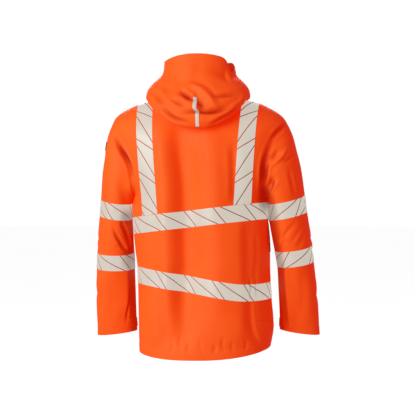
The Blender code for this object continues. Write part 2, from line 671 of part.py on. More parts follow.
def add_slider():
    """The slider at the top of the zip, with two ears that hold the pull tab between them."""
    foot, head = hood(-math.pi / 2, SLIDER_HEIGHT - 0.1), hood(-math.pi / 2, SLIDER_HEIGHT + 0.1)
    rise = Vector(head - foot).normalized()
    tilt = math.atan2(-rise.y, rise.z)
    place = Matrix.Translation(Vector(hood(-math.pi / 2, SLIDER_HEIGHT))) @ Matrix.Rotation(tilt, 4, "X")
    look = material("zip_slider", GREY, 0.35, 0.8)
    mesh = bpy.data.meshes.new("zip_slider")
    shape = bmesh.new()
    half_x, back_y, front_y, half_z = SLIDER
    block(shape, (-half_x, front_y, -half_z), (half_x, back_y, half_z))
    shape.to_mesh(mesh)
    shape.free()
    slider = add_object("zip_slider", mesh, look)
    slider.matrix_world = place
    for name, side in (("ear_left", 1), ("ear_right", -1)):
        ear_mesh = bpy.data.meshes.new(name)
        ear = bmesh.new()
        near, far, reach, tall = EAR
        low, high = sorted((side * near, side * far))
        block(ear, (low, -reach, -tall), (high, (front_y + back_y) / 2, tall))
        ear.to_mesh(ear_mesh)
        ear.free()
        cutter = bpy.data.objects.new(name, ear_mesh)
        bpy.context.collection.objects.link(cutter)
        cutter.matrix_world = place
        cutter.hide_render = True
        cutter.display_type = "WIRE"
        union = slider.modifiers.new(name, "BOOLEAN")
        union.operation = "UNION"
        union.object = cutter
    return place @ Vector((0, HINGE_Y, 0))


def add_pull(hinge):
    """The pull tab hangs from the slider's ears and turns about the x axis."""
    neck, wide, thick = PULL_HALVES
    outline = [(-neck, 0.0009), (-neck, -0.0040), (-wide, -0.0056), (-wide, -PULL_LENGTH + 0.0015)]
    outline += [(-wide + 0.0015, -PULL_LENGTH)]
    outline += [(-x, z) for x, z in reversed(outline)]
    shape = bmesh.new()
    face = shape.faces.new([shape.verts.new((x, -thick, z)) for x, z in outline])
    made = bmesh.ops.extrude_face_region(shape, geom=[face])["geom"]
    back = [item for item in made if isinstance(item, bmesh.types.BMVert)]
    bmesh.ops.translate(shape, vec=(0, 2 * thick, 0), verts=back)
    bmesh.ops.recalc_face_normals(shape, faces=shape.faces)
    mesh = bpy.data.meshes.new("zip_pull")
    shape.to_mesh(mesh)
    shape.free()
    add_object("zip_pull", mesh, material("zip_pull", BLACK, 0.5)).location = hinge


def main():
    for left_over in list(bpy.data.objects):
        bpy.data.objects.remove(left_over)
    panels = make_panels()
    for name, panel in panels.items():
        panel_wall(panel, material(name, ORANGE))
    add_bands(panels)
    add_braces(panels)
    add_sleeve_tapes(panels)
    add_trim(panels)
    add_vents(panels)
    add_zip(panels)
    add_pull(add_slider())


main()
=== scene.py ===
"""Looks of the hi-vis work jacket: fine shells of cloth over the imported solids, with their folds, hems,
stitching, segmented reflective tape, zip and labels. Metres, +Z up; the wearer faces -Y.
"""

import math

import bmesh
import bpy
import numpy as np
from mathutils import Matrix, Vector, kdtree, noise


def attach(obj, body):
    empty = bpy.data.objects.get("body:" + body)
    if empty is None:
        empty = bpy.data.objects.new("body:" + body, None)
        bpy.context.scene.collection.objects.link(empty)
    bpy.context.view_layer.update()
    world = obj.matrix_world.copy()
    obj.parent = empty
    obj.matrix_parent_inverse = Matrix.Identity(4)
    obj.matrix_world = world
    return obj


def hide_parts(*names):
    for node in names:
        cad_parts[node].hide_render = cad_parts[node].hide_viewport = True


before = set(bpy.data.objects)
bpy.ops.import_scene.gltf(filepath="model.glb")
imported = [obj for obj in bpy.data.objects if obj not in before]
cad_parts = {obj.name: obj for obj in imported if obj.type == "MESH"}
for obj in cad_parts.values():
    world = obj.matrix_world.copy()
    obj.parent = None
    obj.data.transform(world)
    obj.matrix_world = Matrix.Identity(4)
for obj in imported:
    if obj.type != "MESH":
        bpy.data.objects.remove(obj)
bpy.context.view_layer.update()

# ---------------------------------------------------------------- the solids' own sections

HOOD_SQUARENESS = 2.3
# half_width middle_x side_z lean_z back_y back_z front_y front_z squareness
TORSO = (
    (0.2040, -0.0115, -0.758, -0.009, 0.158, -0.773, 0.152, -0.712, 2.40),
    (0.2105, -0.0150, -0.695, -0.004, 0.155, -0.708, 0.152, -0.668, 2.30),
    (0.2070, -0.0105, -0.605, 0.000, 0.150, -0.610, 0.151, -0.590, 2.35),
    (0.2055, -0.0075, -0.520, 0.000, 0.146, -0.520, 0.150, -0.510, 2.40),
    (0.2105, -0.0015, -0.420, 0.000, 0.144, -0.420, 0.150, -0.415, 2.45),
    (0.2070, 0.0040, -0.345, 0.000, 0.146, -0.345, 0.151, -0.340, 2.60),
    (0.1965, 0.0030, -0.285, 0.000, 0.149, -0.285, 0.150, -0.285, 2.75),
    (0.2200, 0.0030, -0.235, 0.000, 0.150, -0.245, 0.149, -0.240, 2.50),
    (0.2500, 0.0040, -0.166, 0.000, 0.149, -0.200, 0.147, -0.190, 2.35),
    (0.2660, 0.0055, -0.098, 0.000, 0.146, -0.155, 0.142, -0.150, 2.30),
    (0.2620, 0.0060, -0.047, 0.000, 0.140, -0.112, 0.132, -0.116, 2.30),
    (0.1900, 0.0050, -0.003, 0.000, 0.118, -0.050, 0.112, -0.078, 2.30),
    (0.0820, 0.0040, 0.030, 0.000, 0.078, 0.020, 0.078, -0.045, 2.30),
)
HEM, UNDERARM, SHOULDER_TIP, NECKLINE = 0.0, 6.0, 10.0, 12.0
NECK_X = 0.004
ARMHOLE_ANGLE = math.radians(35)
# outer_x outer_z inner_x inner_z middle_y half_depth
SLEEVE_LEFT = (
    (0.268, -0.047, 0.1995, -0.285, 0.000, 0.088),
    (0.288, -0.095, 0.2110, -0.288, 0.001, 0.092),
    (0.2985, -0.150, 0.2140, -0.303, 0.001, 0.092),
    (0.307, -0.208, 0.2150, -0.325, 0.000, 0.090),
    (0.312, -0.270, 0.2155, -0.352, -0.001, 0.086),
    (0.318, -0.335, 0.2155, -0.385, -0.004, 0.081),
    (0.326, -0.405, 0.2145, -0.430, -0.010, 0.075),
    (0.331, -0.475, 0.2130, -0.480, -0.018, 0.068),
    (0.336, -0.545, 0.2130, -0.545, -0.029, 0.060),
    (0.339, -0.630, 0.2135, -0.625, -0.042, 0.051),
    (0.339, -0.735, 0.2125, -0.718, -0.057, 0.041),
)
SLEEVE_RIGHT = (
    (0.256, -0.047, 0.1935, -0.285, 0.000, 0.088),
    (0.280, -0.095, 0.2040, -0.287, 0.001, 0.092),
    (0.2945, -0.150, 0.2060, -0.298, 0.001, 0.092),
    (0.308, -0.208, 0.2065, -0.318, 0.000, 0.090),
    (0.317, -0.270, 0.2075, -0.345, -0.001, 0.086),
    (0.327, -0.335, 0.2125, -0.385, -0.004, 0.081),
    (0.338, -0.405, 0.2225, -0.440, -0.010, 0.075),
    (0.346, -0.475, 0.2325, -0.490, -0.018, 0.068),
    (0.354, -0.545, 0.2365, -0.550, -0.029, 0.060),
    (0.361, -0.630, 0.2390, -0.620, -0.042, 0.051),
    (0.366, -0.722, 0.2410, -0.706, -0.057, 0.041),
)
ARMHOLE_FADE = 5.0
CUFF = 10.0
# half_width middle_y side_z back_y back_z front_y front_z over_z
HOOD = (
    (0.082, 0.000, 0.030, 0.078, 0.020, 0.078, -0.045, 0.000),
    (0.084, 0.001, 0.041, 0.081, 0.034, 0.082, -0.034, 0.002),
    (0.095, 0.006, 0.047, 0.095, 0.032, 0.086, -0.023, 0.006),
    (0.119, 0.024, 0.035, 0.127, -0.014, 0.090, -0.012, 0.016),
    (0.142, 0.045, 0.017, 0.146, -0.063, 0.094, 0.000, 0.032),
    (0.154, 0.052, 0.009, 0.163, -0.077, 0.097, 0.012, 0.034),
    (0.158, 0.050, 0.022, 0.180, -0.052, 0.099, 0.024, 0.026),
    (0.151, 0.040, 0.045, 0.175, -0.008, 0.101, 0.036, 0.016),
    (0.133, 0.028, 0.066, 0.152, 0.030, 0.102, 0.047, 0.008),
    (0.115, 0.016, 0.084, 0.126, 0.062, 0.103, 0.058, 0.003),
    (0.110, 0.008, 0.104, 0.106, 0.105, 0.104, 0.069, 0.001),
    (0.109, 0.003, 0.124, 0.093, 0.148, 0.105, 0.080, 0.000),
)
BAG_BOTTOM, RIM = 5.0, 11.0
# Where the rim dips or stands up, fading out over the rows below: angle_deg spread_deg down_z out_x
RIM_BUMPS = ((156.0, 13.0, 0.034, 0.0), (179.0, 16.0, 0.020, -0.001), (216.0, 21.0, -0.014, -0.013))
RIM_BUMP_ROWS = 3
FRONT_GAP_HALF = 0.0045
ZIP_TAPE_REACH = 0.016
ZIP_U = 0.06
BACK_CELLS, HOOD_PANEL_CELL = 20, 7
HOOD_PANEL_ANGLE = math.pi * HOOD_PANEL_CELL / BACK_CELLS
TAPE_WIDTH = 0.050
# ---------------------------------------------------------------- sizes of the fine shells

CLOTH = 0.0014
BACK_COLUMNS, FRONT_COLUMNS, SLEEVE_HALF_COLUMNS = 180, 76, 72
BODY_ROWS, SHOULDER_ROWS, SLEEVE_ROWS, HOOD_ROWS = 148, 38, 164, 130
WELD_REACH = 1e-4
SOFTEN_ROUNDS, CREASE_ROUNDS = {"hood": 10, "coat": 40}, 2
# The sleeve column just in front of the underarm seam, where the sleeves' tapes begin and end.
UNDERARM_COLUMN = SLEEVE_HALF_COLUMNS * 4 // 3

# Folds and creases by the cloth they are on and the side they are seen from, drawn as curves through
# points in millimetres: x and z from the back and front, y and z from the left and right. Each row is
# left_width right_width depth points, where the widths are those of the fold's two sides going along
# it, and a negative depth is a ridge. The folds seen from the back follow the photo; all the others
# are guessed.
BODY_FOLDS = {
    ("body", "front"): (
        (26, 34, 12, ((74, -110), (79, -290), (72, -440))),
        (32, 24, 11, ((-86, -150), (-74, -330), (-70, -500))),
        (26, 32, 11, ((106, -430), (97, -570), (84, -730))),
        (30, 24, 9, ((-112, -500), (-104, -610), (-96, -735))),
        (20, 16, 7, ((192, -226), (138, -284), (66, -318))),
        (15, 20, 6, ((-196, -224), (-142, -296), (-84, -326))),
    ),
    ("body", "left"): (
        # under the arm, out to the sleeve
        (44, 44, -11, ((14, -262), (14, -305), (10, -352))),
    ),
    ("body", "right"): (
        # under the arm, out to the sleeve
        (44, 44, -15, ((14, -258), (14, -305), (10, -360))),
        (26, 26, -7, ((8, -262), (10, -290), (10, -322))),
    ),
    ("sleeve_right", "left"): (
        # under the arm, out to the body
        (34, 34, -6, ((0, -284), (0, -320), (-4, -372))),
    ),
    ("body", "back"): (
        # the long groove down the back, to the left of its middle
        (48, 30, 33, ((51, -5), (49, -141), (39, -230), (37, -314), (37, -411), (35, -513),
                      (34, -603), (30, -747))),
    ),
}
CREASES = {
    ("hood", "back"): (
        # the bag: the roll behind the standing part, the creases round it and the lower roll
        (11, 8, -8, ((49, 37), (19, 49), (-11, 40), (-37, 19), (-56, -5), (-79, -19))),
        (6, 8, 17, ((52, 40), (26, 22), (-5, 1))),
        (9, 10, 17, ((6, 31), (-8, 10), (-21, -10), (-36, -34))),
        (9, 4, 14, ((51, -31), (21, -30), (-6, -28), (-38, -31), (-70, -28), (-113, -10))),
        (7, 6, 10, ((114, -4), (91, -25), (57, -50), (6, -63))),
        (6, 9, 9, ((-135, 5), (-113, -25), (-79, -49), (-36, -73))),
        (9, 6, -6, ((-145, 23), (-121, -4), (-88, -30), (-35, -58))),
        (7, 9, 12, ((-36, 27), (-63, 22), (-97, 25), (-136, 26))),
        (6, 5, 7, ((77, 13), (48, -2), (21, -13))),
        (8, 6, -4, ((75, 25), (46, 10), (21, -2))),
        (9, 8, 9, ((135, 38), (108, 8), (82, -19))),
        (12, 12, 4, ((108, 56), (86, 44), (61, 37))),
        (8, 46, 8, ((-82, 111), (-86, 62))),
        (14, 34, -3, ((21, 140), (22, 92), (25, 43))),
    ),
    ("body", "back"): (
        # down the back: beside its middle and the right brace, and at the edges of the flat middle
        (7, 7, 3, ((-17, -72), (-17, -126), (-26, -194), (-21, -290))),
        (16, 10, 6, ((-109, -111), (-112, -200), (-112, -308))),
        (24, 58, -9, ((-121, -332), (-119, -441), (-124, -543), (-122, -627), (-128, -741))),
        (12, 12, 1.5, ((-144, -351), (-150, -457), (-148, -556))),
        (8, 9, 2, ((-176, -377), (-179, -468), (-171, -558))),
        (5, 14, 4.5, ((-162, -575), (-166, -660), (-180, -710), (-203, -746))),
        (14, 30, -6, ((125, -535), (123, -627), (116, -742))),
        (3, 3, 3, ((-177, -655), (-200, -660), (-219, -661))),
        (24, 60, 8, ((56, -478), (49, -592), (42, -742))),
        (4, 4, 5.5, ((-156, -517), (-161, -557), (-158, -599))),
        (4, 4, 5, ((-179, -525), (-176, -561), (-179, -598))),
        # puckers at the hem
        (4, 5, 3.5, ((80, -708), (74, -735), (77, -759))),
        (4, 4, 3, ((46, -691), (52, -724), (42, -754))),
        (4, 5, 3.5, ((18, -711), (24, -735), (18, -756))),
        (4, 4, 3, ((-15, -698), (-12, -728), (-22, -755))),
        (4, 5, 4, ((-51, -716), (-57, -737), (-51, -755))),
        (4, 4, 4, ((-84, -692), (-78, -722), (-87, -752))),
        (4, 5, 3.5, ((-111, -708), (-108, -732), (-117, -753))),
        (4, 4, 3, ((-143, -706), (-149, -731), (-140, -748))),
        (4, 4, 2.5, ((142, -732), (136, -750), (139, -768))),
    ),
    ("coat", "back"): (
        # the left armhole
        (4, 5, 4, ((260, -95), (246, -119))),
        (5, 7, 17, ((264, -95), (247, -122), (234, -143), (214, -173), (203, -203), (204, -243))),
        (4, 4, 1.5, ((204, -210), (205, -259), (215, -312))),
        # the right armhole, pinched into deep folds
        (7, 6, 9, ((-264, -64), (-245, -79), (-225, -103), (-214, -130))),
        (9, 8, 17, ((-225, -106), (-208, -151), (-199, -187), (-195, -223), (-192, -263), (-190, -295))),
        (9, 7, 9, ((-249, -139), (-229, -160), (-205, -178))),
    ),
    ("sleeve_left", "back"): (
        # out of the armhole
        (10, 14, 3, ((227, -222), (226, -265), (226, -315))),
        (14, 14, -7, ((212, -216), (212, -265), (218, -323))),
        # the elbow and the lower sleeve's inner side
        (5, 7, 13, ((241, -355), (229, -394), (220, -433), (220, -472))),
        (5, 5, 6, ((271, -370), (257, -405), (241, -434), (224, -458))),
        (4, 5, 4, ((268, -443), (247, -441), (226, -454))),
        (7, 14, -4, ((228, -493), (231, -583), (237, -668))),
        (3.5, 3.5, 4, ((224, -597), (234, -645), (241, -694))),
        (14, 16, 2.5, ((276, -523), (277, -598), (290, -680))),
    ),
    ("sleeve_right", "back"): (
        # in and beside the armhole, and the ridge between its folds
        (5, 5, -6, ((-270, -133), (-253, -160), (-232, -178), (-214, -199))),
        (5, 5, 5, ((-256, -175), (-270, -171), (-287, -161))),
        (8, 8, 10, ((-235, -220), (-220, -241), (-207, -263))),
        (5, 8, 5, ((-273, -190), (-283, -235), (-295, -287))),
        # below the upper ring, and the inner side
        (5, 6, 3.5, ((-243, -432), (-271, -387), (-304, -351))),
        (4, 5, 2.6, ((-274, -437), (-295, -403), (-318, -368))),
        (8, 9, 3.2, ((-292, -443), (-307, -425), (-322, -398))),
        (4, 4, 1.8, ((-233, -417), (-259, -423), (-289, -418))),
        (12, 10, -4, ((-261, -485), (-266, -581), (-278, -704))),
        (12, 14, 2.5, ((-313, -509), (-316, -589), (-306, -676))),
    ),
    ("hood", "front"): (
        (8, 9, 8, ((92, 34), (68, 6), (38, -12))),
        (9, 7, 7, ((-86, 38), (-62, 8), (-34, -8))),
        (9, 12, 5, ((72, 66), (66, 40), (60, 14))),
        (12, 8, 5, ((-66, 68), (-68, 40), (-62, 8))),
    ),
    ("hood", "left"): (
        (9, 8, 8, ((108, 20), (70, -6), (20, -4))),
        (8, 10, 7, ((96, -28), (64, -34), (30, -20))),
    ),
    ("hood", "right"): (
        (8, 9, 8, ((104, 14), (66, -10), (18, 0))),
        (9, 8, 6, ((84, -36), (54, -34), (26, -16))),
    ),
    ("coat", "front"): (
        (7, 6, 11, ((242, -100), (216, -158), (197, -222), (197, -262))),
        (6, 8, 10, ((-236, -96), (-209, -160), (-191, -232))),
    ),
    ("body", "front"): (
        (8, 10, 6, ((206, -176), (166, -232), (118, -262))),
        (10, 8, 5, ((-204, -168), (-166, -216), (-126, -268))),
        (10, 12, 4, ((28, -84), (40, -150), (60, -214))),
        (12, 10, 4, ((-26, -92), (-34, -160), (-54, -236))),
        (12, 9, 5, ((38, -530), (46, -620), (50, -716))),
        (9, 12, 5, ((-30, -470), (-38, -590), (-36, -700))),
        (10, 12, 5, ((148, -396), (163, -478), (170, -556))),
        (12, 9, 5, ((-146, -380), (-160, -460), (-168, -540))),
        (6, 6, 4, ((-176, -268), (-150, -300), (-110, -312))),
        (4, 5, 3, ((150, -664), (146, -680), (149, -698))),
        (5, 4, 3, ((126, -658), (122, -678), (127, -700))),
        (4, 5, 3, ((60, -668), (63, -686), (58, -706))),
        (5, 4, 3, ((-58, -664), (-54, -684), (-60, -704))),
        (4, 5, 3, ((-132, -656), (-128, -676), (-134, -696))),
        (5, 4, 2.5, ((-158, -662), (-161, -676), (-157, -690))),
    ),
    ("body", "left"): (
        (8, 10, 5, ((24, -420), (4, -500), (14, -580))),
        (10, 8, 4, ((-20, -560), (-4, -640), (-16, -700))),
    ),
    ("body", "right"): (
        (10, 8, 5, ((20, -440), (2, -520), (16, -600))),
        (8, 10, 4, ((-22, -540), (-6, -620), (-14, -700))),
    ),
    ("sleeve_left", "front"): (
        (5, 7, 10, ((266, -338), (242, -388), (221, -436))),
        (6, 6, 7, ((296, -368), (264, -418), (228, -454))),
        (9, 11, 4, ((312, -402), (282, -442), (244, -470))),
        (8, 10, 6, ((270, -136), (250, -204), (232, -276))),
        (11, 8, 5, ((300, -540), (270, -590), (240, -640))),
        (12, 14, 4, ((284, -180), (290, -250), (278, -310))),
    ),
    ("sleeve_left", "left"): (
        (10, 12, 6, ((36, -150), (18, -240), (8, -336))),
        (7, 8, 6, ((-52, -368), (-18, -408), (24, -430))),
        (8, 7, 5, ((-58, -420), (-24, -444), (14, -452))),
        (10, 9, 5, ((-78, -520), (-44, -570), (-14, -628))),
        (9, 12, 4, ((-34, -150), (-40, -230), (-26, -320))),
    ),
    ("sleeve_right", "front"): (
        (7, 5, 10, ((-276, -346), (-248, -396), (-226, -440))),
        (6, 7, 7, ((-306, -356), (-276, -412), (-236, -448))),
        (11, 9, 4, ((-322, -396), (-292, -440), (-256, -474))),
        (10, 8, 6, ((-268, -132), (-246, -206), (-230, -270))),
        (9, 11, 5, ((-318, -550), (-290, -600), (-262, -636))),
        (14, 12, 4, ((-282, -186), (-292, -254), (-286, -312))),
    ),
    ("sleeve_right", "right"): (
        (12, 10, 6, ((30, -146), (22, -244), (6, -326))),
        (8, 7, 6, ((-48, -374), (-20, -414), (26, -440))),
        (7, 8, 5, ((-62, -424), (-28, -452), (10, -456))),
        (9, 10, 5, ((-76, -530), (-48, -580), (-20, -632))),
        (12, 9, 4, ((-32, -156), (-44, -236), (-30, -310))),
    ),
}
# The axis across the picture, the one into it, and which way that one comes out of it.
VIEW_AXES = {"back": (0, 1, 1), "front": (0, 1, -1), "left": (1, 0, 1), "right": (1, 0, -1)}
MM = 0.001
# How a fold's curve is laid on the cloth that faces its view; gaps and depths in millimetres.
CURVE_STEPS, HEIGHT_ROUNDS, LEAST_FACING, STEEPEST_FACING = 14, 4, 0.05, 0.3
CLOSE_GAP, CLOSE_SPARE, OUTERMOST = 5.0, 0.5, 12
# How far a fold reaches, fades out at its ends and follows the cloth's own curve.
FOLD_MARGIN, FOLD_FADE, FADE_BY_DEPTH, TAPER_POWER, CURVE_SLACK = 3.2, 0.045, 6, 0.8, 0.005
# The trough's section, sharper in narrow folds, and the low swell to either side of it.
NARROW, NARROW_POWER, WIDE_POWER = 20, 1.8, 2.3
SWELL, SWELL_AT, SWELL_SPREAD = 0.2, 2.0, 0.7
# How steep a fold is where its painted shade starts, over what range it grows, and how far out it spreads.
STEEP_FROM, STEEP_OVER, CREASE_SHADE_SPREAD = 0.35, 0.7, 0.9
# Painted shade where the right sleeve presses on the body: x z half_x half_z shade
UNDERARM_PAINTED_SHADE = (
    (-0.200, -0.285, 0.021, 0.045, 0.95),
    (-0.197, -0.205, 0.011, 0.040, 0.85),
    (-0.216, -0.385, 0.010, 0.080, 0.85),
)
# The sleeves' inner sides, where shade is painted next to the body: which way is out, and the height under
# which that painted shade lies.
INNER_SIDES = {"sleeve_left": (1, -0.31), "sleeve_right": (-1, -0.06)}
INNER_SIDE_PAINTED_SHADE, INNER_FROM, INNER_OVER, INNER_FADE = 0.75, 0.35, 0.5, 0.04

# Soft unevenness of the cloth, its size and height, stretched up and down.
UNEVEN = ((0.085, 0.0016), (0.034, 0.0005))
UNEVEN_STRETCH, SEED = 0.45, 7
# Turned up edges: region, whether at its last row, height
HEMS = (("body", False, 0.022), ("sleeve", True, 0.026), ("hood", True, 0.016))
HEM_RISE, HEM_SOFT = 0.0007, 0.003

# ---------------------------------------------------------------- tape, tabs and label

TAPE_LIFT, TAPE_THICK, PRESSED_IN = 0.0006, 0.0004, 0.0002
EDGE_SHARE, SLIT_SHARE = 0.7, 0.3
# How much cloth round a piece is taken into its plan before it is cut out.
STRIP_SPARE, SIDE_SPARE, BRACE_SPARE, SEAM_SPARE = 0.002, 0.001, 0.03, 0.05
# middle_z at x = 0, slope_x slope_y bend_x bend slit_x
BODY_BANDS = {
    "upper": (-0.356, -0.122, 0.080, -0.100, 0.0, 0.039),
    "lower": (-0.561, 0.155, 0.080, -0.100, 1.4, 0.039),
}
VENT_CLEARANCE = 0.0115
# top_x top_z foot_x foot_z slit_z
BRACES = {
    "left": (0.1645, -0.030, 0.1440, -0.330, -0.206),
    "right": (-0.1530, -0.030, -0.1340, -0.330, -0.203),
}
BRACE_GAP, STEADY_REACH = 0.0006, 0.012
# middle_x middle_z slope_x slope_y slit_x shift
SLEEVE_BANDS = {
    ("left", "upper"): (0.262, -0.329, 0.130, -0.04, 0.278, -0.022),
    ("left", "lower"): (0.265, -0.493, 0.010, -0.06, 0.249, 0.0),
    ("right", "upper"): (-0.268, -0.320, -0.210, -0.04, -0.300, -0.022),
    ("right", "lower"): (-0.288, -0.472, -0.140, -0.06, -0.278, 0.0),
}
# The tape's slits: how often they come, how far each runs along the tape as it crosses it, how far
# the long one starts after the short one, their width, and how far they are drawn past the edge.
SLIT_PITCH, SHORT_RUN, LONG_RUN, LONG_START = 0.100, 0.037, 0.093, 0.022
SLIT_WIDTH, SLIT_PAST = 0.0026, 0.002
HOOD_STRIP_HALF, HOOD_STRIP_Z = 0.0051, (-0.070, 0.016)
STRIP_TOP_X, STRIP_FOOT_X, STRIP_STEP_Z, STRIP_STEP_SOFT = 0.002, -0.0065, -0.016, 0.012
# top_z and the distance from the middle to which the tab reaches
CUFF_TABS = {"left": (-0.678, 0.240), "right": (-0.671, 0.270)}
CUFF_TAB_HEIGHT, TAB_LIFT, TAB_THICK = 0.027, 0.0007, 0.0013
TAB_STITCH_IN, TAB_STITCH_LIFT, TAB_LINE_POINTS, TAB_TURN_POINTS = 0.003, 0.0022, 40, 12
# How many points near a place tell the plane of the cloth there.
PLANE_POINTS = 9
PATCH_Y, PATCH_Z, PATCH_MIN_X = (-0.012, 0.046), (-0.146, -0.119), 0.25
PATCH_CORNER, PATCH_THICK = 0.0012, 0.0009

# ---------------------------------------------------------------- zips and stitches

ZIP_TAPE_START, ZIP_TAPE_UNDER, ZIP_TAPE_THICK = 0.0022, CLOTH + 0.0009, 0.0007
CHAIN_UNDER, TEETH_APART, TOOTH_PITCH = 0.0028, 0.0008, 0.0024
TOOTH_SIZE = (0.0019, 0.0021, 0.0027)
VENT_LEVELS, VENT_HALF, VENT_TOOTH_PITCH = (3.6, 5.75), 0.0056, 0.0016
VENT_TAPE_OUTER, VENT_TAPE_INNER, VENT_COIL_OUT = 0.0012, 0.0003, 0.0011
VENT_TOOTH_SIZE = (0.0017, 0.0014, 0.0011)
SLIDER_HEIGHT = 9.7
# half_x back_y front_y half_z of the slider; near_x far_x reach and half height of its ears
SLIDER, EAR = (0.0044, -0.0006, -0.0046, 0.0065), (0.0018, 0.0030, 0.0078, 0.0022)
FRONT_PLATE, BACK_PLATE, FLANGE, BRIDGE_HALF, HINGE_Y = 0.0016, 0.0012, 0.0011, 0.0012, -0.0066
SLIDER_BEVEL, BACK_BEVEL, BRIDGE_BEVEL, FLANGE_TOP, BRIDGE_FOOT = 0.0005, 0.0004, 0.0003, 0.35, 0.2
# The pull's half width down its length, from the loop at its head to its foot.
PULL_PROFILE = (
    (0.0009, 0.00098), (0.0004, 0.0014), (-0.0040, 0.0014), (-0.0056, 0.002752),
    (-0.0068, 0.0032), (-0.0278, 0.0032), (-0.0294, 0.00256), (-0.0300, 0.0016),
)
# first and last rib and their number, how far the grip goes on past them, and their depth
PULL_RIBS, RIB_SPARE, RIB_DEPTH = (-0.0095, -0.0255, 15), 0.0005, 0.28
PULL_HALF_THICK, PULL_SQUARENESS, PULL_CORNERS = 0.0006, 4.5, 12
# A stitch and a tooth of unit size: points and faces.
STITCH = (
    (
        (0, -1, 0.1), (0.22, -0.55, 0.25), (0, -0.5, 0.42), (-0.22, -0.55, 0.25),
        (0.24, 0.55, 0.25), (0, 0.5, 0.42), (-0.24, 0.55, 0.25), (0, 1, 0.1), (0, 0, -0.2),
    ),
    (
        (0, 1, 2), (0, 2, 3), (1, 4, 5, 2), (2, 5, 6, 3), (4, 7, 5), (5, 7, 6),
        (0, 8, 1), (1, 8, 4), (4, 8, 7), (7, 8, 6), (6, 8, 3), (3, 8, 0),
    ),
)
TOOTH = (
    (
        (-1.0, -0.5, 0.0), (1.0, -0.36, 0.0), (1.0, 0.36, 0.0), (-1.0, 0.5, 0.0),
        (-0.9, -0.42, 0.75), (0.85, -0.3, 0.75), (0.85, 0.3, 0.75), (-0.9, 0.42, 0.75),
        (-0.65, -0.25, 1.0), (0.55, -0.18, 1.0), (0.55, 0.18, 1.0), (-0.65, 0.25, 1.0),
    ),
    (
        (3, 2, 1, 0), (0, 1, 5, 4), (1, 2, 6, 5), (2, 3, 7, 6), (3, 0, 4, 7),
        (4, 5, 9, 8), (5, 6, 10, 9), (6, 7, 11, 10), (7, 4, 8, 11), (8, 9, 10, 11),
    ),
)
STITCH_PITCH, STITCH_WIDTH, STITCH_HEIGHT, STITCH_LIFT = 0.0034, 0.0011, 0.0010, 0.0001
FRONTS, SLEEVES = ("front_left", "front_right"), ("sleeve_left", "sleeve_right")
HOOD_SIDES = ("hood_left", "hood_right")
# border, distance from it, panels
SEWN_LINES = (
    ("foot", 0.020, ("back", *FRONTS)),
    ("foot", 0.005, SLEEVES),
    ("head", 0.024, SLEEVES),
    ("head", 0.014, (*HOOD_SIDES, "hood_centre")),
    ("head", 0.005, ("back", *FRONTS)),
    ("start", 0.006, (*FRONTS, *HOOD_SIDES, "back")),
    ("end", 0.006, ("back",)),
    ("start", 0.004, ("hood_centre",)),
    ("end", 0.004, ("hood_centre",)),
)

# ---------------------------------------------------------------- colours and light

WEAVE_PITCH = 0.0007
CLOTH_DARK, CLOTH_LIGHT = (0.31, 0.078, 0.006), (0.36, 0.098, 0.009)
THREAD_DARK, THREAD_LIGHT = (0.60, 0.055, 0.006), (0.76, 0.095, 0.014)
TAPE_DARK, TAPE_LIGHT = (0.066, 0.063, 0.059), (0.096, 0.091, 0.086)
BLACK = (0.006, 0.006, 0.007)
# A painted glow on the cloth and on the tape, an emission standing in for the fluorescent cloth's and the
# retroreflective tape's light, and how much painted shade lowers colour and glow.
PAINTED_GLOW_COLOUR, PAINTED_GLOW = (1.0, 0.012, 0.0, 1), 0.61
PAINTED_SHADE_DARKENS, PAINTED_SHADE_DIMS_GLOW, LINING_PAINTED_SHADE = 0.97, 0.36, 0.75
TAPE_PAINTED_GLOW_COLOUR, TAPE_PAINTED_GLOW, TAPE_PAINTED_SHADE_DARKENS = (1.0, 0.90, 0.77, 1), 0.575, 0.62
# name, pitch across and along, light colour, roughness, bump distance and strength
WOVEN_LOOKS = {
    "zip_tape": ("black_zip_tape", 0.0011, 0.0007, (0.024, 0.024, 0.026), 0.85, 0.0003, 0.8),
    "label": ("dark_patch", 0.0008, 0.0008, (0.03, 0.03, 0.032), 0.75, 0.0002, 0.6),
}
# name, dark and light colour, roughness, metallic
HARD_LOOKS = {
    # The cloth seen in the tape's slits: its orange darkened to red-brown as painted shade.
    "slit": ("tape_slit_painted_shade", (0.34, 0.030, 0.012), (0.44, 0.050, 0.020), 0.7, 0.0),
    "teeth": ("zip_teeth", (0.010, 0.010, 0.011), (0.022, 0.022, 0.024), 0.42, 0.0),
    "metal": ("slider_metal", (0.10, 0.10, 0.105), (0.17, 0.17, 0.175), 0.36, 0.85),
    "plastic": ("pull_tab", (0.010, 0.010, 0.011), (0.024, 0.024, 0.026), 0.48, 0.0),
}
AMBIENT, DOME_RADIUS, FLOOR_Z, FLOOR_GLOW = 0.22, 30, -1.55, 0.79
# name, azimuth, elevation, size, strength
LIGHTS = (("key", 143, 15, 1.9, 1.30), ("front_key", 8, 26, 1.4, 0.9))
LIT_POINT, LIGHT_DISTANCE = (0, 0, -0.35), 3.2
CAMERA_FROM, CAMERA_DISTANCE, CAMERA_TARGET = (186, 4), 4.0, (-0.0186, 0, -0.3225)


def section(table, level):
    """A table's columns at a fractional row number, on a smooth curve through its rows."""
    rows = np.array(table, float)
    rows = np.vstack((2 * rows[0] - rows[1], rows, 2 * rows[-1] - rows[-2]))
    level = np.asarray(level, float)
    start = np.clip(np.floor(level).astype(int), 0, len(table) - 2)
    f = (level - start)[..., None]
    before, here, after, beyond = (rows[start + k] for k in range(4))
    bend = 2 * before - 5 * here + 4 * after - beyond
    twist = 3 * (here - after) + beyond - before
    return np.moveaxis(here + 0.5 * f * (after - before + f * (bend + f * twist)), -1, 0)


def squared(values, squareness):
    return np.sign(values) * np.abs(values) ** (2 / squareness)


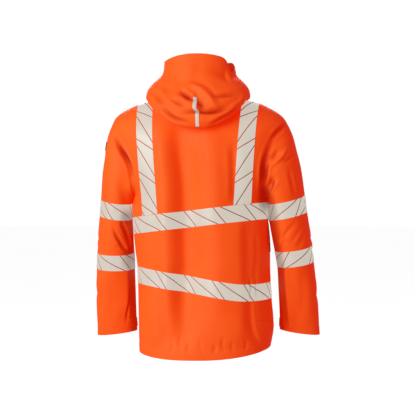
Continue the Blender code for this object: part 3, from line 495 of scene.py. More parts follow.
def unit(vectors):
    return vectors / np.maximum(np.linalg.norm(vectors, axis=-1, keepdims=True), 1e-12)


def dot(a, b):
    return np.einsum("ij,ij->i", a, b)


def smooth_step(values):
    values = np.clip(values, 0, 1)
    return values * values * (3 - 2 * values)


def lengths(points, axis=0):
    """How far along its line of points each point is."""
    steps = np.linalg.norm(np.diff(points, axis=axis), axis=-1)
    return np.concatenate((np.zeros_like(steps.take([0], axis)), np.cumsum(steps, axis)), axis)


def torso(angle, level):
    half, middle, side_z, lean, back_y, back_z, front_y, front_z, square = section(TORSO, level)
    across, through = np.cos(angle), np.sin(angle)
    behind = through >= 0
    z = side_z * across**2 + np.where(behind, back_z, front_z) * through**2 + lean * across
    y = np.where(behind, back_y, front_y) * squared(through, square)
    return np.stack((middle + half * squared(across, square), y, z), axis=-1)


def armhole_angle(level):
    height = np.clip((level - UNDERARM) / (SHOULDER_TIP - UNDERARM), 0, 1)
    return ARMHOLE_ANGLE * np.sqrt(np.clip(4 * height * (1 - height), 0, 1))


def edge_angle(half_width, squareness, reach):
    return np.arcsin(np.clip(reach / half_width, 0, 1) ** (squareness / 2))


def back_angles(u, level):
    start = armhole_angle(level)
    return start + u * (math.pi - 2 * start)


def from_zip(u, half_width, squareness, last):
    first = edge_angle(half_width, squareness, FRONT_GAP_HALF) - math.pi / 2
    taped = edge_angle(half_width, squareness, ZIP_TAPE_REACH) - math.pi / 2
    beyond = taped + (u - ZIP_U) / (1 - ZIP_U) * (last - taped)
    return np.where(u < ZIP_U, first + u / ZIP_U * (taped - first), beyond)


def front_angles(side):
    def angles(u, level):
        row = section(TORSO, level)
        angle = from_zip(u, row[0], row[-1], -armhole_angle(level))
        return angle if side > 0 else math.pi - angle

    return angles


def hood_side_angles(side):
    def angles(u, height):
        angle = from_zip(np.minimum(u, 1), section(HOOD, height)[0], HOOD_SQUARENESS, 0)
        angle = angle + np.maximum(u - 1, 0) * HOOD_PANEL_ANGLE
        return angle if side > 0 else math.pi - angle

    return angles


def hood_centre_angles(u, height):
    return HOOD_PANEL_ANGLE + u * (math.pi - 2 * HOOD_PANEL_ANGLE) + 0 * height


def sleeve_angles(around, along):
    return around + 0 * along


def sleeve_ring(side, table, around, along):
    outer_x, outer_z, inner_x, inner_z, middle_y, half_depth = section(table, along)
    cosine = np.cos(around)
    x = (outer_x + inner_x) / 2 + (outer_x - inner_x) / 2 * cosine
    z = (outer_z + inner_z) / 2 + (outer_z - inner_z) / 2 * cosine
    return np.stack((side * x, middle_y + half_depth * np.sin(around), z), axis=-1)


def sleeve(side, table):
    def form(around, along):
        height = (1 + np.cos(around)) / 2
        angle = ARMHOLE_ANGLE * np.sin(around)
        level = UNDERARM + (SHOULDER_TIP - UNDERARM) * height
        armhole = torso(angle if side > 0 else math.pi - angle, level)
        cut = armhole - sleeve_ring(side, table, around, 0 * along)
        fade = np.clip(1 - along / ARMHOLE_FADE, 0, 1) ** 2
        return sleeve_ring(side, table, around, along) + cut * fade[..., None]

    return form


def hood(angle, height):
    half, middle_y, side_z, back_y, back_z, front_y, front_z, over_z = section(HOOD, height)
    across, through = np.cos(angle), np.sin(angle)
    behind = through >= 0
    reach = np.where(behind, back_y - middle_y, front_y + middle_y)
    z = side_z * across**2 + np.where(behind, back_z, front_z) * through**2
    z = z + np.where(behind, 0, over_z) * 4 * across**2 * through**2
    x = NECK_X + half * squared(across, HOOD_SQUARENESS)
    near_rim = np.clip(1 - (RIM - height) / RIM_BUMP_ROWS, 0, 1) ** 2
    turn = np.degrees(angle) % 360
    for middle, spread, down_z, out_x in RIM_BUMPS:
        bump = near_rim * np.exp(-(((turn - middle) / spread) ** 2))
        z = z - down_z * bump
        x = x - out_x * bump
    y = middle_y + reach * squared(through, HOOD_SQUARENESS)
    return np.stack((x, y, z), axis=-1)


# ---------------------------------------------------------------- the jacket as one welded sheet


def grid_cells(rows, columns, sign, closed=False):
    """A grid's cells as places in its list of points, wound to face outwards."""
    index = np.arange(rows * columns).reshape(rows, columns)
    if closed:
        index = np.hstack((index, index[:, :1]))
    corners = index[:-1, :-1], index[:-1, 1:], index[1:, 1:], index[1:, :-1]
    return np.stack([corner.ravel() for corner in corners[::sign]], axis=1)


class Grid:
    """A panel's fine points by row and column."""

    def __init__(self, name, region, form, angles, across, along, sign, closed=False):
        u, level = np.meshgrid(across, along)
        self.name, self.region, self.sign, self.closed = name, region, sign, closed
        self.points = form(angles(u, level), level)

    def cells(self):
        return grid_cells(*self.points.shape[:2], self.sign, self.closed)

    def border(self):
        rows, columns = self.points.shape[:2]
        index = np.arange(rows * columns).reshape(rows, columns)
        sides = [] if self.closed else [index[:, 0], index[:, -1]]
        return np.unique(np.concatenate([index[0], index[-1], *sides]))

    def whole(self, values):
        """The points or normals by row and column, with a tube's first column again as its last."""
        return np.concatenate((values, values[:, :1]), axis=1) if self.closed else values

    def taken(self, columns=slice(None), way=1):
        """The points, normals and sign with the columns in another order."""
        return self.points[:, columns], self.normals[:, columns], way * self.sign

    def all_round(self, first):
        """A tube unrolled: its columns from the given one right round to the same one again."""
        return self.taken(np.append(np.roll(np.arange(self.points.shape[1]), -first), first))


def make_grids():
    around = np.arange(2 * SLEEVE_HALF_COLUMNS) * math.pi / SLEEVE_HALF_COLUMNS
    armhole = (1 - np.cos(around[1:SLEEVE_HALF_COLUMNS])) / 2
    rows = np.concatenate((
        np.linspace(HEM, UNDERARM, BODY_ROWS + 1),
        UNDERARM + (SHOULDER_TIP - UNDERARM) * armhole,
        np.linspace(SHOULDER_TIP, NECKLINE, SHOULDER_ROWS),
    ))
    back = np.linspace(0, 1, BACK_COLUMNS + 1)
    front = np.concatenate(((0, ZIP_U / 3, 2 * ZIP_U / 3), np.linspace(ZIP_U, 1, FRONT_COLUMNS + 1)))
    panel_columns = BACK_COLUMNS * HOOD_PANEL_CELL // BACK_CELLS
    side = np.append(front, 1 + np.arange(1, panel_columns + 1) / panel_columns)
    centre = np.linspace(0, 1, BACK_COLUMNS - 2 * panel_columns + 1)
    heights = np.linspace(0, RIM, HOOD_ROWS + 1)
    along = np.linspace(0, CUFF, SLEEVE_ROWS + 1)
    made = [
        Grid("back", "body", torso, back_angles, back, rows, 1),
        Grid("hood_centre", "hood", hood, hood_centre_angles, centre, heights, 1),
    ]
    for name, sign, table in (("left", 1, SLEEVE_LEFT), ("right", -1, SLEEVE_RIGHT)):
        arm, form = f"sleeve_{name}", sleeve(sign, table)
        made += [
            Grid(f"front_{name}", "body", torso, front_angles(sign), front, rows, sign),
            Grid(f"hood_{name}", "hood", hood, hood_side_angles(sign), side, heights, sign),
            Grid(arm, arm, form, sleeve_angles, around, along, -sign, closed=True),
        ]
    return {grid.name: grid for grid in made}


def weld(grids):
    """Gives each grid's points their places in one list, where points that meet are one."""
    points = np.concatenate([grid.points.reshape(-1, 3) for grid in grids])
    first = np.cumsum([0] + [grid.points.size // 3 for grid in grids])
    border = np.concatenate([grid.border() + start for grid, start in zip(grids, first)])
    tree = tree_of(points[border])
    one = np.arange(len(points))
    for place in border:
        one[place] = min(border[index] for _, index, _ in tree.find_range(points[place], WELD_REACH))
    kept, one = np.unique(one, return_inverse=True)
    for grid, start, stop in zip(grids, first, first[1:]):
        grid.places = one[start:stop]
    cells = np.concatenate([grid.places[grid.cells()] for grid in grids])
    return points[kept], cells


def tree_of(points):
    """A tree that finds the nearest of some points by their places in the list."""
    tree = kdtree.KDTree(len(points))
    for index, point in enumerate(points.tolist()):
        tree.insert(point, index)
    tree.balance()
    return tree


def edges_of(cells):
    pairs = np.concatenate([cells[:, (k, (k + 1) % 4)] for k in range(4)])
    pairs.sort(axis=1)
    return np.unique(pairs[pairs[:, 0] != pairs[:, 1]], axis=0, return_counts=True)


def soften(points, edges, weight, rounds):
    """Moves each point half way to the middle of its neighbours."""
    count = np.maximum(np.bincount(edges.ravel(), minlength=len(points)), 1)[:, None]
    for _ in range(rounds):
        total = np.empty_like(points)
        for k in range(3):
            near = np.bincount(edges[:, 0], points[edges[:, 1], k], len(points))
            total[:, k] = near + np.bincount(edges[:, 1], points[edges[:, 0], k], len(points))
        points = points + (total / count - points) * (0.5 * weight)[:, None]
    return points


def normals_of(points, cells):
    a, b, c, d = (points[cells[:, k]] for k in range(4))
    faces = np.cross(c - a, d - b)
    total = np.zeros_like(points)
    for corner in range(4):
        for k in range(3):
            total[:, k] += np.bincount(cells[:, corner], faces[:, k], len(points))
    return unit(total)


def on_surface(curve, points, normals, index, view):
    """A curve drawn from one side, laid on the outermost cloth that faces that side."""
    across, axis, sign = VIEW_AXES[view]
    index = index[sign * normals[index, axis] > LEAST_FACING]
    flat, out = points[index][:, (across, 2)] / MM, sign * points[index, axis] / MM
    facing = np.maximum(sign * normals[index, axis], STEEPEST_FACING)[:, None]
    slope = -normals[index][:, (across, 2)] / facing
    heights = []
    for place in curve:
        gap = np.hypot(*(flat - place).T)
        close = np.flatnonzero(gap < max(CLOSE_GAP, gap.min() + CLOSE_SPARE))
        close = close[out[close] > out[close].max() - OUTERMOST]
        nearest = close[np.argmin(gap[close])]
        heights.append(out[nearest] + (place - flat[nearest]) @ slope[nearest])
    heights = np.array(heights)
    for _ in range(HEIGHT_ROUNDS):
        inner = (heights[:-2] + heights[1:-1] + heights[2:]) / 3
        heights = np.concatenate((heights[:1], inner, heights[-1:]))
    laid = np.empty((len(curve), 3))
    laid[:, across], laid[:, 2], laid[:, axis] = curve[:, 0], curve[:, 1], sign * heights
    return laid * MM


def fold_field(points, normals, regions, table):
    """How far each point moves out of the cloth for the table's folds, and how much painted shade its
    crease gets.
    """
    move, closed = np.zeros(len(points)), np.zeros(len(points))
    folds = [(*key, *row) for key, rows in table.items() for row in rows]
    for on, view, left, right, depth, path in folds:
        index = np.flatnonzero(regions[on])
        level = np.linspace(0, len(path) - 1, CURVE_STEPS * (len(path) - 1) + 1)
        curve = on_surface(section(path, level).T, points, normals, index, view)
        margin = FOLD_MARGIN * max(left, right) * MM
        low, high = curve.min(axis=0) - margin, curve.max(axis=0) + margin
        index = index[((points[index] > low) & (points[index] < high)).all(axis=1)]
        run = unit(np.gradient(curve, axis=0))
        nearest = np.argmin(np.linalg.norm(points[index, None] - curve[None], axis=-1), axis=1)
        rel = points[index] - curve[nearest]
        ahead = dot(rel, run[nearest])
        rel -= ahead[:, None] * run[nearest]
        off = np.clip(dot(rel, normals[index]), -CURVE_SLACK, CURVE_SLACK)
        rel -= off[:, None] * normals[index]
        on_right = dot(np.cross(run[nearest], normals[index]), rel) > 0
        away = np.linalg.norm(rel, axis=1) / MM / np.where(on_right, right, left)
        run_on = lengths(curve)
        fade = min(run_on[-1] / 2, max(FOLD_FADE, FADE_BY_DEPTH * abs(depth) * MM))
        at = run_on[nearest] + ahead
        taper = smooth_step(np.minimum(at, run_on[-1] - at) / fade) ** TAPER_POWER
        trough = np.exp(-(away ** (NARROW_POWER if min(left, right) < NARROW else WIDE_POWER)))
        swell = SWELL * np.exp(-(((away - SWELL_AT) / SWELL_SPREAD) ** 2))
        move[index] -= MM * depth * (trough - swell) * taper
        # Painted shade: the steeper a fold, the darker its trough is painted, fading out to its sides.
        steep = np.clip((depth / (left + right) - STEEP_FROM) / STEEP_OVER, 0, 1)
        inside = np.exp(-((away / CREASE_SHADE_SPREAD) ** 2))
        closed[index] = np.maximum(closed[index], steep * inside * taper)
    return move, closed


def unevenness(points):
    rise = np.zeros(len(points))
    for size, height in UNEVEN:
        scaled = points * (1, 1, UNEVEN_STRETCH) / size + SEED
        rise += height * np.array([noise.noise(Vector(p)) for p in scaled])
    return rise


def measure_flat(grid):
    """A panel's cut: its widest row, its longest column and its area."""
    points = grid.whole(grid.points)
    wide, long = lengths(points, 1)[:, -1].max(), lengths(points)[-1].max()
    a, b, c, d = points[:-1, :-1], points[:-1, 1:], points[1:, 1:], points[1:, :-1]
    area = np.linalg.norm(np.cross(c - a, d - b), axis=-1).sum() / 2
    return (round(float(wide), 3), round(float(long), 3)), round(float(area), 4)


def with_underarm_shade(points, closed):
    """The painted shade of the cloth, with more shade painted where the right sleeve presses on the body.
    """
    for x, z, half_x, half_z, amount in UNDERARM_PAINTED_SHADE:
        away = ((points[:, 0] - x) / half_x) ** 2 + ((points[:, 2] - z) / half_z) ** 2
        closed = np.maximum(closed, amount * np.exp(-(away**2)))
    return closed


def hem_rise(grids, count):
    """How much thicker the cloth is where it is turned up at the hem, cuffs and rim."""
    hems = np.zeros(count)
    for grid in grids:
        for region, at_head, height in HEMS:
            if grid.region.startswith(region):
                run = lengths(grid.points[::-1])[::-1] if at_head else lengths(grid.points)
                rise = HEM_RISE * smooth_step((height - run.ravel()) / HEM_SOFT + 0.5)
                hems[grid.places] = np.maximum(hems[grid.places], rise)
    return hems


def shape_jacket():
    """The finished outer face of every panel, still joined at the seams."""
    grids = make_grids()
    listed = list(grids.values())
    for grid in listed:
        grid.flat, grid.area = measure_flat(grid)
    points, cells = weld(listed)
    edges, uses = edges_of(cells)
    free = np.ones(len(points))
    free[np.unique(edges[uses == 1])] = 0
    regions = {}
    for grid in listed:
        regions.setdefault(grid.region, np.zeros(len(points), bool))[grid.places] = True
    regions["coat"] = ~regions["hood"]
    for name, rounds in SOFTEN_ROUNDS.items():
        points = soften(points, edges, free * regions[name], rounds)
    normals = normals_of(points, cells)
    move, _ = fold_field(points, normals, regions, BODY_FOLDS)
    points = points + normals * (move * free)[:, None]
    normals = normals_of(points, cells)
    # Painted shade from the creases' steepness, then more painted under the right arm.
    move, closed = fold_field(points, normals, regions, CREASES)
    closed = with_underarm_shade(points, closed)
    points = points + normals * ((move + unevenness(points)) * free)[:, None]
    points = soften(points, edges, free, CREASE_ROUNDS)
    points = points + normals_of(points, cells) * hem_rise(listed, len(points))[:, None]
    normals = normals_of(points, cells)
    for grid in listed:
        grid.points = points[grid.places].reshape(grid.points.shape)
        grid.normals = normals[grid.places].reshape(grid.points.shape)
        grid.closed_in = closed[grid.places]
        # Painted shade on the sleeves' inner sides, where they face the body.
        if grid.name in INNER_SIDES:
            side, top = INNER_SIDES[grid.name]
            inwards = smooth_step((-side * grid.normals[..., 0].ravel() - INNER_FROM) / INNER_OVER)
            below = smooth_step((top - grid.points[..., 2].ravel()) / INNER_FADE)
            grid.closed_in = np.maximum(grid.closed_in, INNER_SIDE_PAINTED_SHADE * inwards * below)
    return grids


# ---------------------------------------------------------------- meshes

LOOKS, STITCHED = {}, []


def mesh_object(name, vertices, faces, uv=None, sharp=45):
    mesh = bpy.data.meshes.new(name)
    mesh.from_pydata(np.asarray(vertices).tolist(), [], [tuple(face) for face in faces])
    if uv is not None:
        layer = mesh.uv_layers.new(name="cloth")
        loops = np.empty(len(mesh.loops), int)
        mesh.loops.foreach_get("vertex_index", loops)
        layer.data.foreach_set("uv", np.asarray(uv, float)[loops].ravel())
    mesh.shade_smooth()
    mesh.set_sharp_from_angle(angle=math.radians(sharp))
    made = bpy.data.objects.new(name, mesh)
    bpy.context.scene.collection.objects.link(made)
    return made


def enter(made, look, slot=None, *nodes, body="jacket"):
    """Says which body a piece rides on, its look and the nodes it stands for; the slot is not used."""
    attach(made, body)
    if nodes:
        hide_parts(*nodes)
    LOOKS[made.name] = look


def wall(name, outer, inner, faces, uv):
    """A closed wall from two layers, with a strip round every open edge of its faces."""
    count = len(outer)
    faces = [tuple(int(v) for v in face) for face in faces]
    seen = {(a, b): True for face in faces for a, b in zip(face, face[1:] + face[:1])}
    rim = [(b, a, a + count, b + count) for a, b in seen if (b, a) not in seen]
    back = [tuple(v + count for v in reversed(face)) for face in faces]
    both = np.concatenate((uv, uv))
    return mesh_object(name, np.concatenate((outer, inner)), faces + back + rim, both)


def sheet_wall(name, outer, inner, cells):
    """A wall from two grids of points, with flat places in metres for its weave, and its flat size."""
    across, down = lengths(outer[len(outer) // 2]), lengths(outer[:, outer.shape[1] // 2])
    uv = np.stack(np.meshgrid(across, down), axis=-1).reshape(-1, 2)
    made = wall(name, outer.reshape(-1, 3), inner.reshape(-1, 3), cells, uv)
    return made, (round(float(across[-1]), 4), round(float(down[-1]), 3))


# A per-point amount of painted shade, which the materials use to darken colour and glow.
def set_closed_in(mesh, values):
    depth = mesh.attributes.new("closed_in", "FLOAT", "POINT")
    depth.data.foreach_set("value", values)


def add_panels(grids):
    for name, grid in grids.items():
        inner = grid.points - grid.normals * CLOTH
        made, _ = sheet_wall(f"{name}_cloth", grid.points, inner, grid.cells())
        # The inner layer, the lining, gets an even painted shade.
        lining_shade = np.full(len(grid.closed_in), LINING_PAINTED_SHADE)
        set_closed_in(made.data, np.concatenate((grid.closed_in, lining_shade)))
        enter(made, "cloth", "orange_cloth", name)


# ---------------------------------------------------------------- pieces laid on the cloth


def flat_plan(points, normals, sign, along, across):
    """A panel's points, normals and cells, with the points' places in a piece's own flat cut."""
    flat = np.stack(np.broadcast_arrays(along, across), axis=-1).reshape(-1, 2)
    cells = grid_cells(*points.shape[:2], sign)
    return points.reshape(-1, 3), normals.reshape(-1, 3), flat, cells


def cut(shape, point, away, clear):
    everything = shape.verts[:] + shape.edges[:] + shape.faces[:]
    plane = {"plane_co": (*point, 0), "plane_no": (*away, 0), "dist": 1e-6}
    bmesh.ops.bisect_plane(shape, geom=everything, clear_outer=clear, **plane)


def lay(name, plan, low, high, cuts, slits=(), lift=TAPE_LIFT, thick=TAPE_THICK):
    """A piece lying on a panel, cut out in its own flat plan and then put in place.

    Low and high are corners of a flat window round it. Each cut is a flat point and the flat
    direction away from the piece. Each slit is two flat points.
    """
    points, normals, flat, cells = plan
    corners = flat[cells]
    reach = (corners.max(axis=1) > low) & (corners.min(axis=1) < high)
    cells = cells[reach.all(axis=1)]
    shape = bmesh.new()
    place = shape.verts.layers.float_vector.new("place")
    facing = shape.verts.layers.float_vector.new("facing")
    in_slit = shape.faces.layers.int.new("in_slit")
    verts = {}
    for index in np.unique(cells).tolist():
        vert = shape.verts.new((flat[index, 0], flat[index, 1], 0))
        vert[place], vert[facing] = points[index], normals[index]
        verts[index] = vert
    for cell in cells.tolist():
        shape.faces.new([verts[index] for index in cell])
    for point, away in cuts:
        cut(shape, point, away, True)
    for start, stop in slits:
        start, stop = Vector(start), Vector(stop)
        run = (stop - start).normalized()
        aside = Vector((-run.y, run.x))
        for sign in (-1, 1):
            cut(shape, start + aside * sign * SLIT_WIDTH / 2, aside, False)
        for face in shape.faces:
            middle = face.calc_center_median().xy - start
            if abs(middle.dot(aside)) < SLIT_WIDTH / 2 and 0 < middle.dot(run) < (stop - start).length:
                face[in_slit] = 1
    loose = [vert for vert in shape.verts if not vert.link_faces]
    bmesh.ops.delete(shape, geom=loose, context="VERTS")
    shape.verts.index_update()
    base = np.array([vert[place] for vert in shape.verts])
    out = unit(np.array([vert[facing] for vert in shape.verts]))
    uv = np.array([vert.co.xy for vert in shape.verts])
    edge = np.array([vert.is_boundary for vert in shape.verts])
    beside = np.array([any(face[in_slit] for face in vert.link_faces) for vert in shape.verts])
    faces = [tuple(vert.index for vert in face.verts) for face in shape.faces]
    marks = np.array([face[in_slit] for face in shape.faces])
    shape.free()
    share = np.where(edge, EDGE_SHARE, np.where(beside, SLIT_SHARE, 1.0))[:, None]
    made = wall(name, base + out * (lift + share * thick), base + out * (lift - PRESSED_IN), faces, uv)
    # Slit faces take the second material, the slit's painted shade.
    index = np.zeros(len(made.data.polygons), int)
    index[: len(marks)] = marks
    made.data.polygons.foreach_set("material_index", index)
    return made


def lay_strip(name, plan, ends, half, slits=(), cuts=None, spare=(STRIP_SPARE, STRIP_SPARE), **sizes):
    """A strip along a plan, cut square at its ends unless it has cuts of its own."""
    square = [((ends[0], 0), (-1, 0)), ((ends[1], 0), (1, 0))]
    sides = [((0, half), (0, 1)), ((0, -half), (0, -1))]
    low, high = (ends[0] - spare[0], -half - SIDE_SPARE), (ends[1] + spare[1], half + SIDE_SPARE)
    return lay(name, plan, low, high, sides + (cuts or square), slits, **sizes)


def add_tape(node, on, plan, ends, half=TAPE_WIDTH / 2, **how):
    made = lay_strip(f"{node}_tape", plan, ends, half, **how)
    enter(made, "tape", "reflective_tape", node)


def slit_lines(first, last, start, way=1):
    """The short and the long slits of a tape between two places along it."""
    half = TAPE_WIDTH / 2 + SLIT_PAST
    low, high = sorted((way * first, way * last))
    begin = way * start + SLIT_PITCH * math.floor((low - way * start - LONG_RUN - LONG_START) / SLIT_PITCH)
    lines = []
    while begin < high:
        for run, offset in ((SHORT_RUN, 0), (LONG_RUN, LONG_START)):
            extra = run * SLIT_PAST / TAPE_WIDTH
            a, b = begin + offset - extra, begin + offset + run + extra
            if b > low and a < high:
                lines.append(((way * a, half), (way * b, -half)))
        begin += SLIT_PITCH
    return lines


def band_height(points, point, slope_x, slope_y, bend_x=0.0, bend=0.0):
    """How high points are above a band's middle, measured across the band."""
    up = np.array((-slope_x, -slope_y, 1.0))
    up /= np.linalg.norm(up)
    rise = bend * np.clip(bend_x - points[..., 0], 0, None) ** 2
    return (points - point) @ up - rise * up[2]


def crossings(line, axis, value):
    rise = line[:, axis] - value
    return np.flatnonzero(rise[:-1] * rise[1:] <= 0), rise


def where_on(line, s, axis, value):
    """How far along a band its line passes a value of x, on its back, or of y."""
    found, rise = crossings(line, axis, value)
    if axis == 0:
        found = [k for k in found if line[k, 1] > 0]
    k = found[0]
    return float(s[k] + (s[k + 1] - s[k]) * rise[k] / (rise[k] - rise[k + 1]))


def centre_line(points, height):
    """The points where each column crosses height zero, the length along them, and whether it does."""
    line = np.empty((points.shape[1], 3))
    crossed = np.zeros(points.shape[1], bool)
    for column in range(points.shape[1]):
        rise = height[:, column]
        crossing = np.flatnonzero(rise[:-1] * rise[1:] <= 0)
        crossed[column] = len(crossing) > 0
        row = crossing[0] if len(crossing) else min(int(np.argmin(np.abs(rise))), len(rise) - 2)
        gap = rise[row + 1] - rise[row]
        f = np.clip(-rise[row] / gap, 0, 1) if abs(gap) > 1e-9 else 0
        line[column] = points[row, column] * (1 - f) + points[row + 1, column] * f
    return line, lengths(line), crossed


def add_body_bands(grids):
    """Both bands: the back's length first, then on round the fronts with the slits in step."""
    for name, (middle_z, slope_x, slope_y, bend_x, bend, slit_x) in BODY_BANDS.items():
        done = 0
        for on in ("back", "front_right", "front_left"):
            way = -1 if on == "front_right" else 1
            points, normals, sign = grids[on].taken(slice(None, None, way), way)
            slope = slope_y if on == "back" else 0
            height = band_height(points, (0, 0, middle_z), slope_x, slope, bend_x, bend)
            line, s, _ = centre_line(points, height)
            if on == "back":
                start = where_on(line, s, 0, slit_x)
            s = s + done
            done = s[-1]
            ends = [s[0], s[-1]]
            if name == "upper":
                clear, half = VENT_CLEARANCE if on == "back" else -VENT_CLEARANCE, len(s) // 2
                if on != "front_left":
                    ends[0] = where_on(line[:half], s[:half], 1, clear)
                if on != "front_right":
                    ends[1] = where_on(line[half:], s[half:], 1, clear)
            plan = flat_plan(points, normals, sign, s, height)
            add_tape(f"band_{name}_{on}", on, plan, ends, slits=slit_lines(*ends, start))


def steady_run(line, s):
    """The direction of a line at each of its points, taken over a stretch to either side."""
    ahead, behind = (np.clip(s + way * STEADY_REACH, 0, s[-1]) for way in (1, -1))
    steps = [np.interp(ahead, s, line[:, k]) - np.interp(behind, s, line[:, k]) for k in range(3)]
    return unit(np.stack(steps, axis=1))


def add_braces(grids):
    """Over the shoulders, from the upper band behind to the upper band in front."""
    middle_z, slope_x, slope_y = BODY_BANDS["upper"][:3]
    for side_name, side in (("left", 1), ("right", -1)):
        top_x, top_z, foot_x, foot_z, slit_z = BRACES[side_name]
        foot = np.array((foot_x, 0, foot_z))
        outwards = unit(np.cross(np.array((top_x, 0, top_z)) - foot, (0, -side, 0)))
        start = shoulder = None
        for where, on, slope in (("back", "back", slope_y), ("front", f"front_{side_name}", 0)):
            points, normals, sign = grids[on].taken()
            across = (points - foot) @ outwards
            line, s, crossed = centre_line(points.transpose(1, 0, 2), across.T)
            last = int(np.flatnonzero(crossed)[-1])
            line, s = line[: last + 1], s[: last + 1]
            run = steady_run(line, s)
            row = np.minimum(np.arange(len(points)), last)
            along = s[row][:, None] + np.einsum("rcx,rx->rc", points - line[row][:, None], run[row])
            above = band_height(line, (0, 0, middle_z), slope_x, slope)
            first = float(np.interp(TAPE_WIDTH / 2 + BRACE_GAP, above, s))
            if where == "back":
                start, shoulder = float(np.interp(slit_z, line[:, 2], s)), s[-1]
                slits = slit_lines(first, s[-1] + BRACE_SPARE, start, -1)
            else:
                slits = slit_lines(first, s[-1] + BRACE_SPARE, s[-1] + shoulder - start, 1)
            away = unit(np.array((-1.0, slope_x * outwards[0])))
            how = {"slits": slits, "cuts": [((first, 0), tuple(away))], "spare": (BRACE_SPARE, SEAM_SPARE)}
            plan = flat_plan(points, normals, sign, along, across)
            add_tape(f"brace_{where}_{side_name}", on, plan, (first, s[-1]), **how)


def add_sleeve_bands(grids):
    for (side, name), (x, z, slope_x, slope_y, slit_x, shift) in SLEEVE_BANDS.items():
        on = f"sleeve_{side}"
        points, normals, sign = grids[on].all_round(UNDERARM_COLUMN)
        height = band_height(points, (x, 0, z), slope_x, slope_y)
        line, s, _ = centre_line(points, height)
        slits = slit_lines(0, s[-1], where_on(line, s, 0, slit_x) + shift)
        plan = flat_plan(points, normals, sign, s, height)
        add_tape(f"sleeve_band_{name}_{side}", on, plan, (0, s[-1]), slits=slits)


def rounded_end(at, half, way):
    """Cuts that round a strip's end off to a half circle."""
    cuts = []
    for turn in np.radians((-72, -48, -24, 0, 24, 48, 72)):
        away = (way * math.cos(turn), math.sin(turn))
        cuts.append(((at - way * half + half * away[0], half * away[1]), away))
    return cuts


def add_cuff_tabs(grids):
    """A tab round the inner side of each cuff, with round ends and a line of stitches."""
    half = CUFF_TAB_HEIGHT / 2
    for side, (top_z, reach) in CUFF_TABS.items():
        points, normals, sign = grids[f"sleeve_{side}"].all_round(0)
        height = points[..., 2] - (top_z - half)
        line, s, _ = centre_line(points, height)
        found, rise = crossings(line, 0, reach if side == "left" else -reach)
        ends = [float(np.interp(0, sorted(rise[k : k + 2]), s[k : k + 2])) for k in found[:2]]
        plan = flat_plan(points, normals, sign, s, height)
        cuts = rounded_end(ends[0], half, -1) + rounded_end(ends[1], half, 1)
        sizes = {"lift": TAB_LIFT, "thick": TAB_THICK}
        made = lay_strip(f"cuff_tab_{side}_cloth", plan, ends, half, cuts=cuts, **sizes)
        enter(made, "cloth", "orange_cloth", f"cuff_tab_{side}")
        inset = half - TAB_STITCH_IN
        straight = np.linspace(ends[0] + half, ends[1] - half, TAB_LINE_POINTS)
        turn = np.linspace(-math.pi / 2, math.pi / 2, TAB_TURN_POINTS)
        right = np.stack((ends[1] - half + inset * np.cos(turn), inset * np.sin(turn)), axis=1)
        left = np.stack((ends[0] + half - inset * np.cos(turn), -inset * np.sin(turn)), axis=1)
        low = np.stack((straight, np.full(TAB_LINE_POINTS, -inset)), axis=1)
        top = low[::-1] * (1, -1)
        loop = np.concatenate((low, right, top, left, low[:1]))
        STITCHED.append((*on_flat(plan, loop), TAB_STITCH_LIFT))


def on_flat(plan, line):
    """The places and directions on a panel of points given in its flat plan."""
    points, normals, flat, _ = plan
    tree = tree_of(np.column_stack((flat, np.zeros(len(flat)))))
    places, facings = [], []
    for a, b in line:
        index = [item[1] for item in tree.find_n((a, b, 0), PLANE_POINTS)]
        offsets = np.column_stack((np.ones(len(index)), flat[index] - (a, b)))
        places.append(np.linalg.lstsq(offsets, points[index], rcond=None)[0][0])
        facings.append(normals[index].mean(axis=0))
    return np.array(places), unit(np.array(facings))


def add_hood_strip(grids):
    """The short strip down the hood's middle, with a step aside where the hood folds."""
    first = round(BAG_BOTTOM / RIM * HOOD_ROWS)
    points, normals, sign = grids["hood_centre"].taken()
    points, normals = points[first:], normals[first:]
    step = smooth_step((STRIP_STEP_Z - points[..., 2]) / STRIP_STEP_SOFT)
    across = points[..., 0] - STRIP_TOP_X - (STRIP_FOOT_X - STRIP_TOP_X) * step
    line, s, _ = centre_line(points.transpose(1, 0, 2), across.T)
    ends = sorted(np.interp(HOOD_STRIP_Z, line[:, 2], s))
    plan = flat_plan(points, normals, sign, s[:, None], across)
    add_tape("hood_strip", "hood_centre", plan, ends, HOOD_STRIP_HALF)


def add_patch(grids):
    """A bare dark label high on the left sleeve."""
    points, normals, sign = grids["sleeve_left"].all_round(SLEEVE_HALF_COLUMNS)
    points, normals, flat, cells = flat_plan(points, normals, sign, points[..., 1], points[..., 2])
    outer = points[cells[:, 0], 0] > PATCH_MIN_X
    (low_y, high_y), (low_z, high_z) = PATCH_Y, PATCH_Z
    low, high = (low_y, low_z), (high_y, high_z)
    cuts = [(low, (-1, 0)), (low, (0, -1)), (high, (1, 0)), (high, (0, 1))]
    for y, out_y in ((low_y, -1), (high_y, 1)):
        for z, out_z in ((low_z, -1), (high_z, 1)):
            away = unit(np.array((out_y, out_z), float))
            cuts.append((tuple((y, z) - away * PATCH_CORNER), tuple(away)))
    plan = points, normals, flat, cells[outer]
    window = np.array(low) - SIDE_SPARE, np.array(high) + SIDE_SPARE
    made = lay("sleeve_patch_label", plan, *window, cuts, thick=PATCH_THICK)
    enter(made, "label", "dark_patch", "sleeve_patch")


# ---------------------------------------------------------------- zips


def resampled(line, step, out):
    """Points at even steps along a line, with the directions out of the cloth there."""
    s = lengths(line)
    places = np.arange(step / 2, s[-1], step)
    return [
        np.stack([np.interp(places, s, values[:, k]) for k in range(3)], axis=1)
        for values in (line, out)
    ]


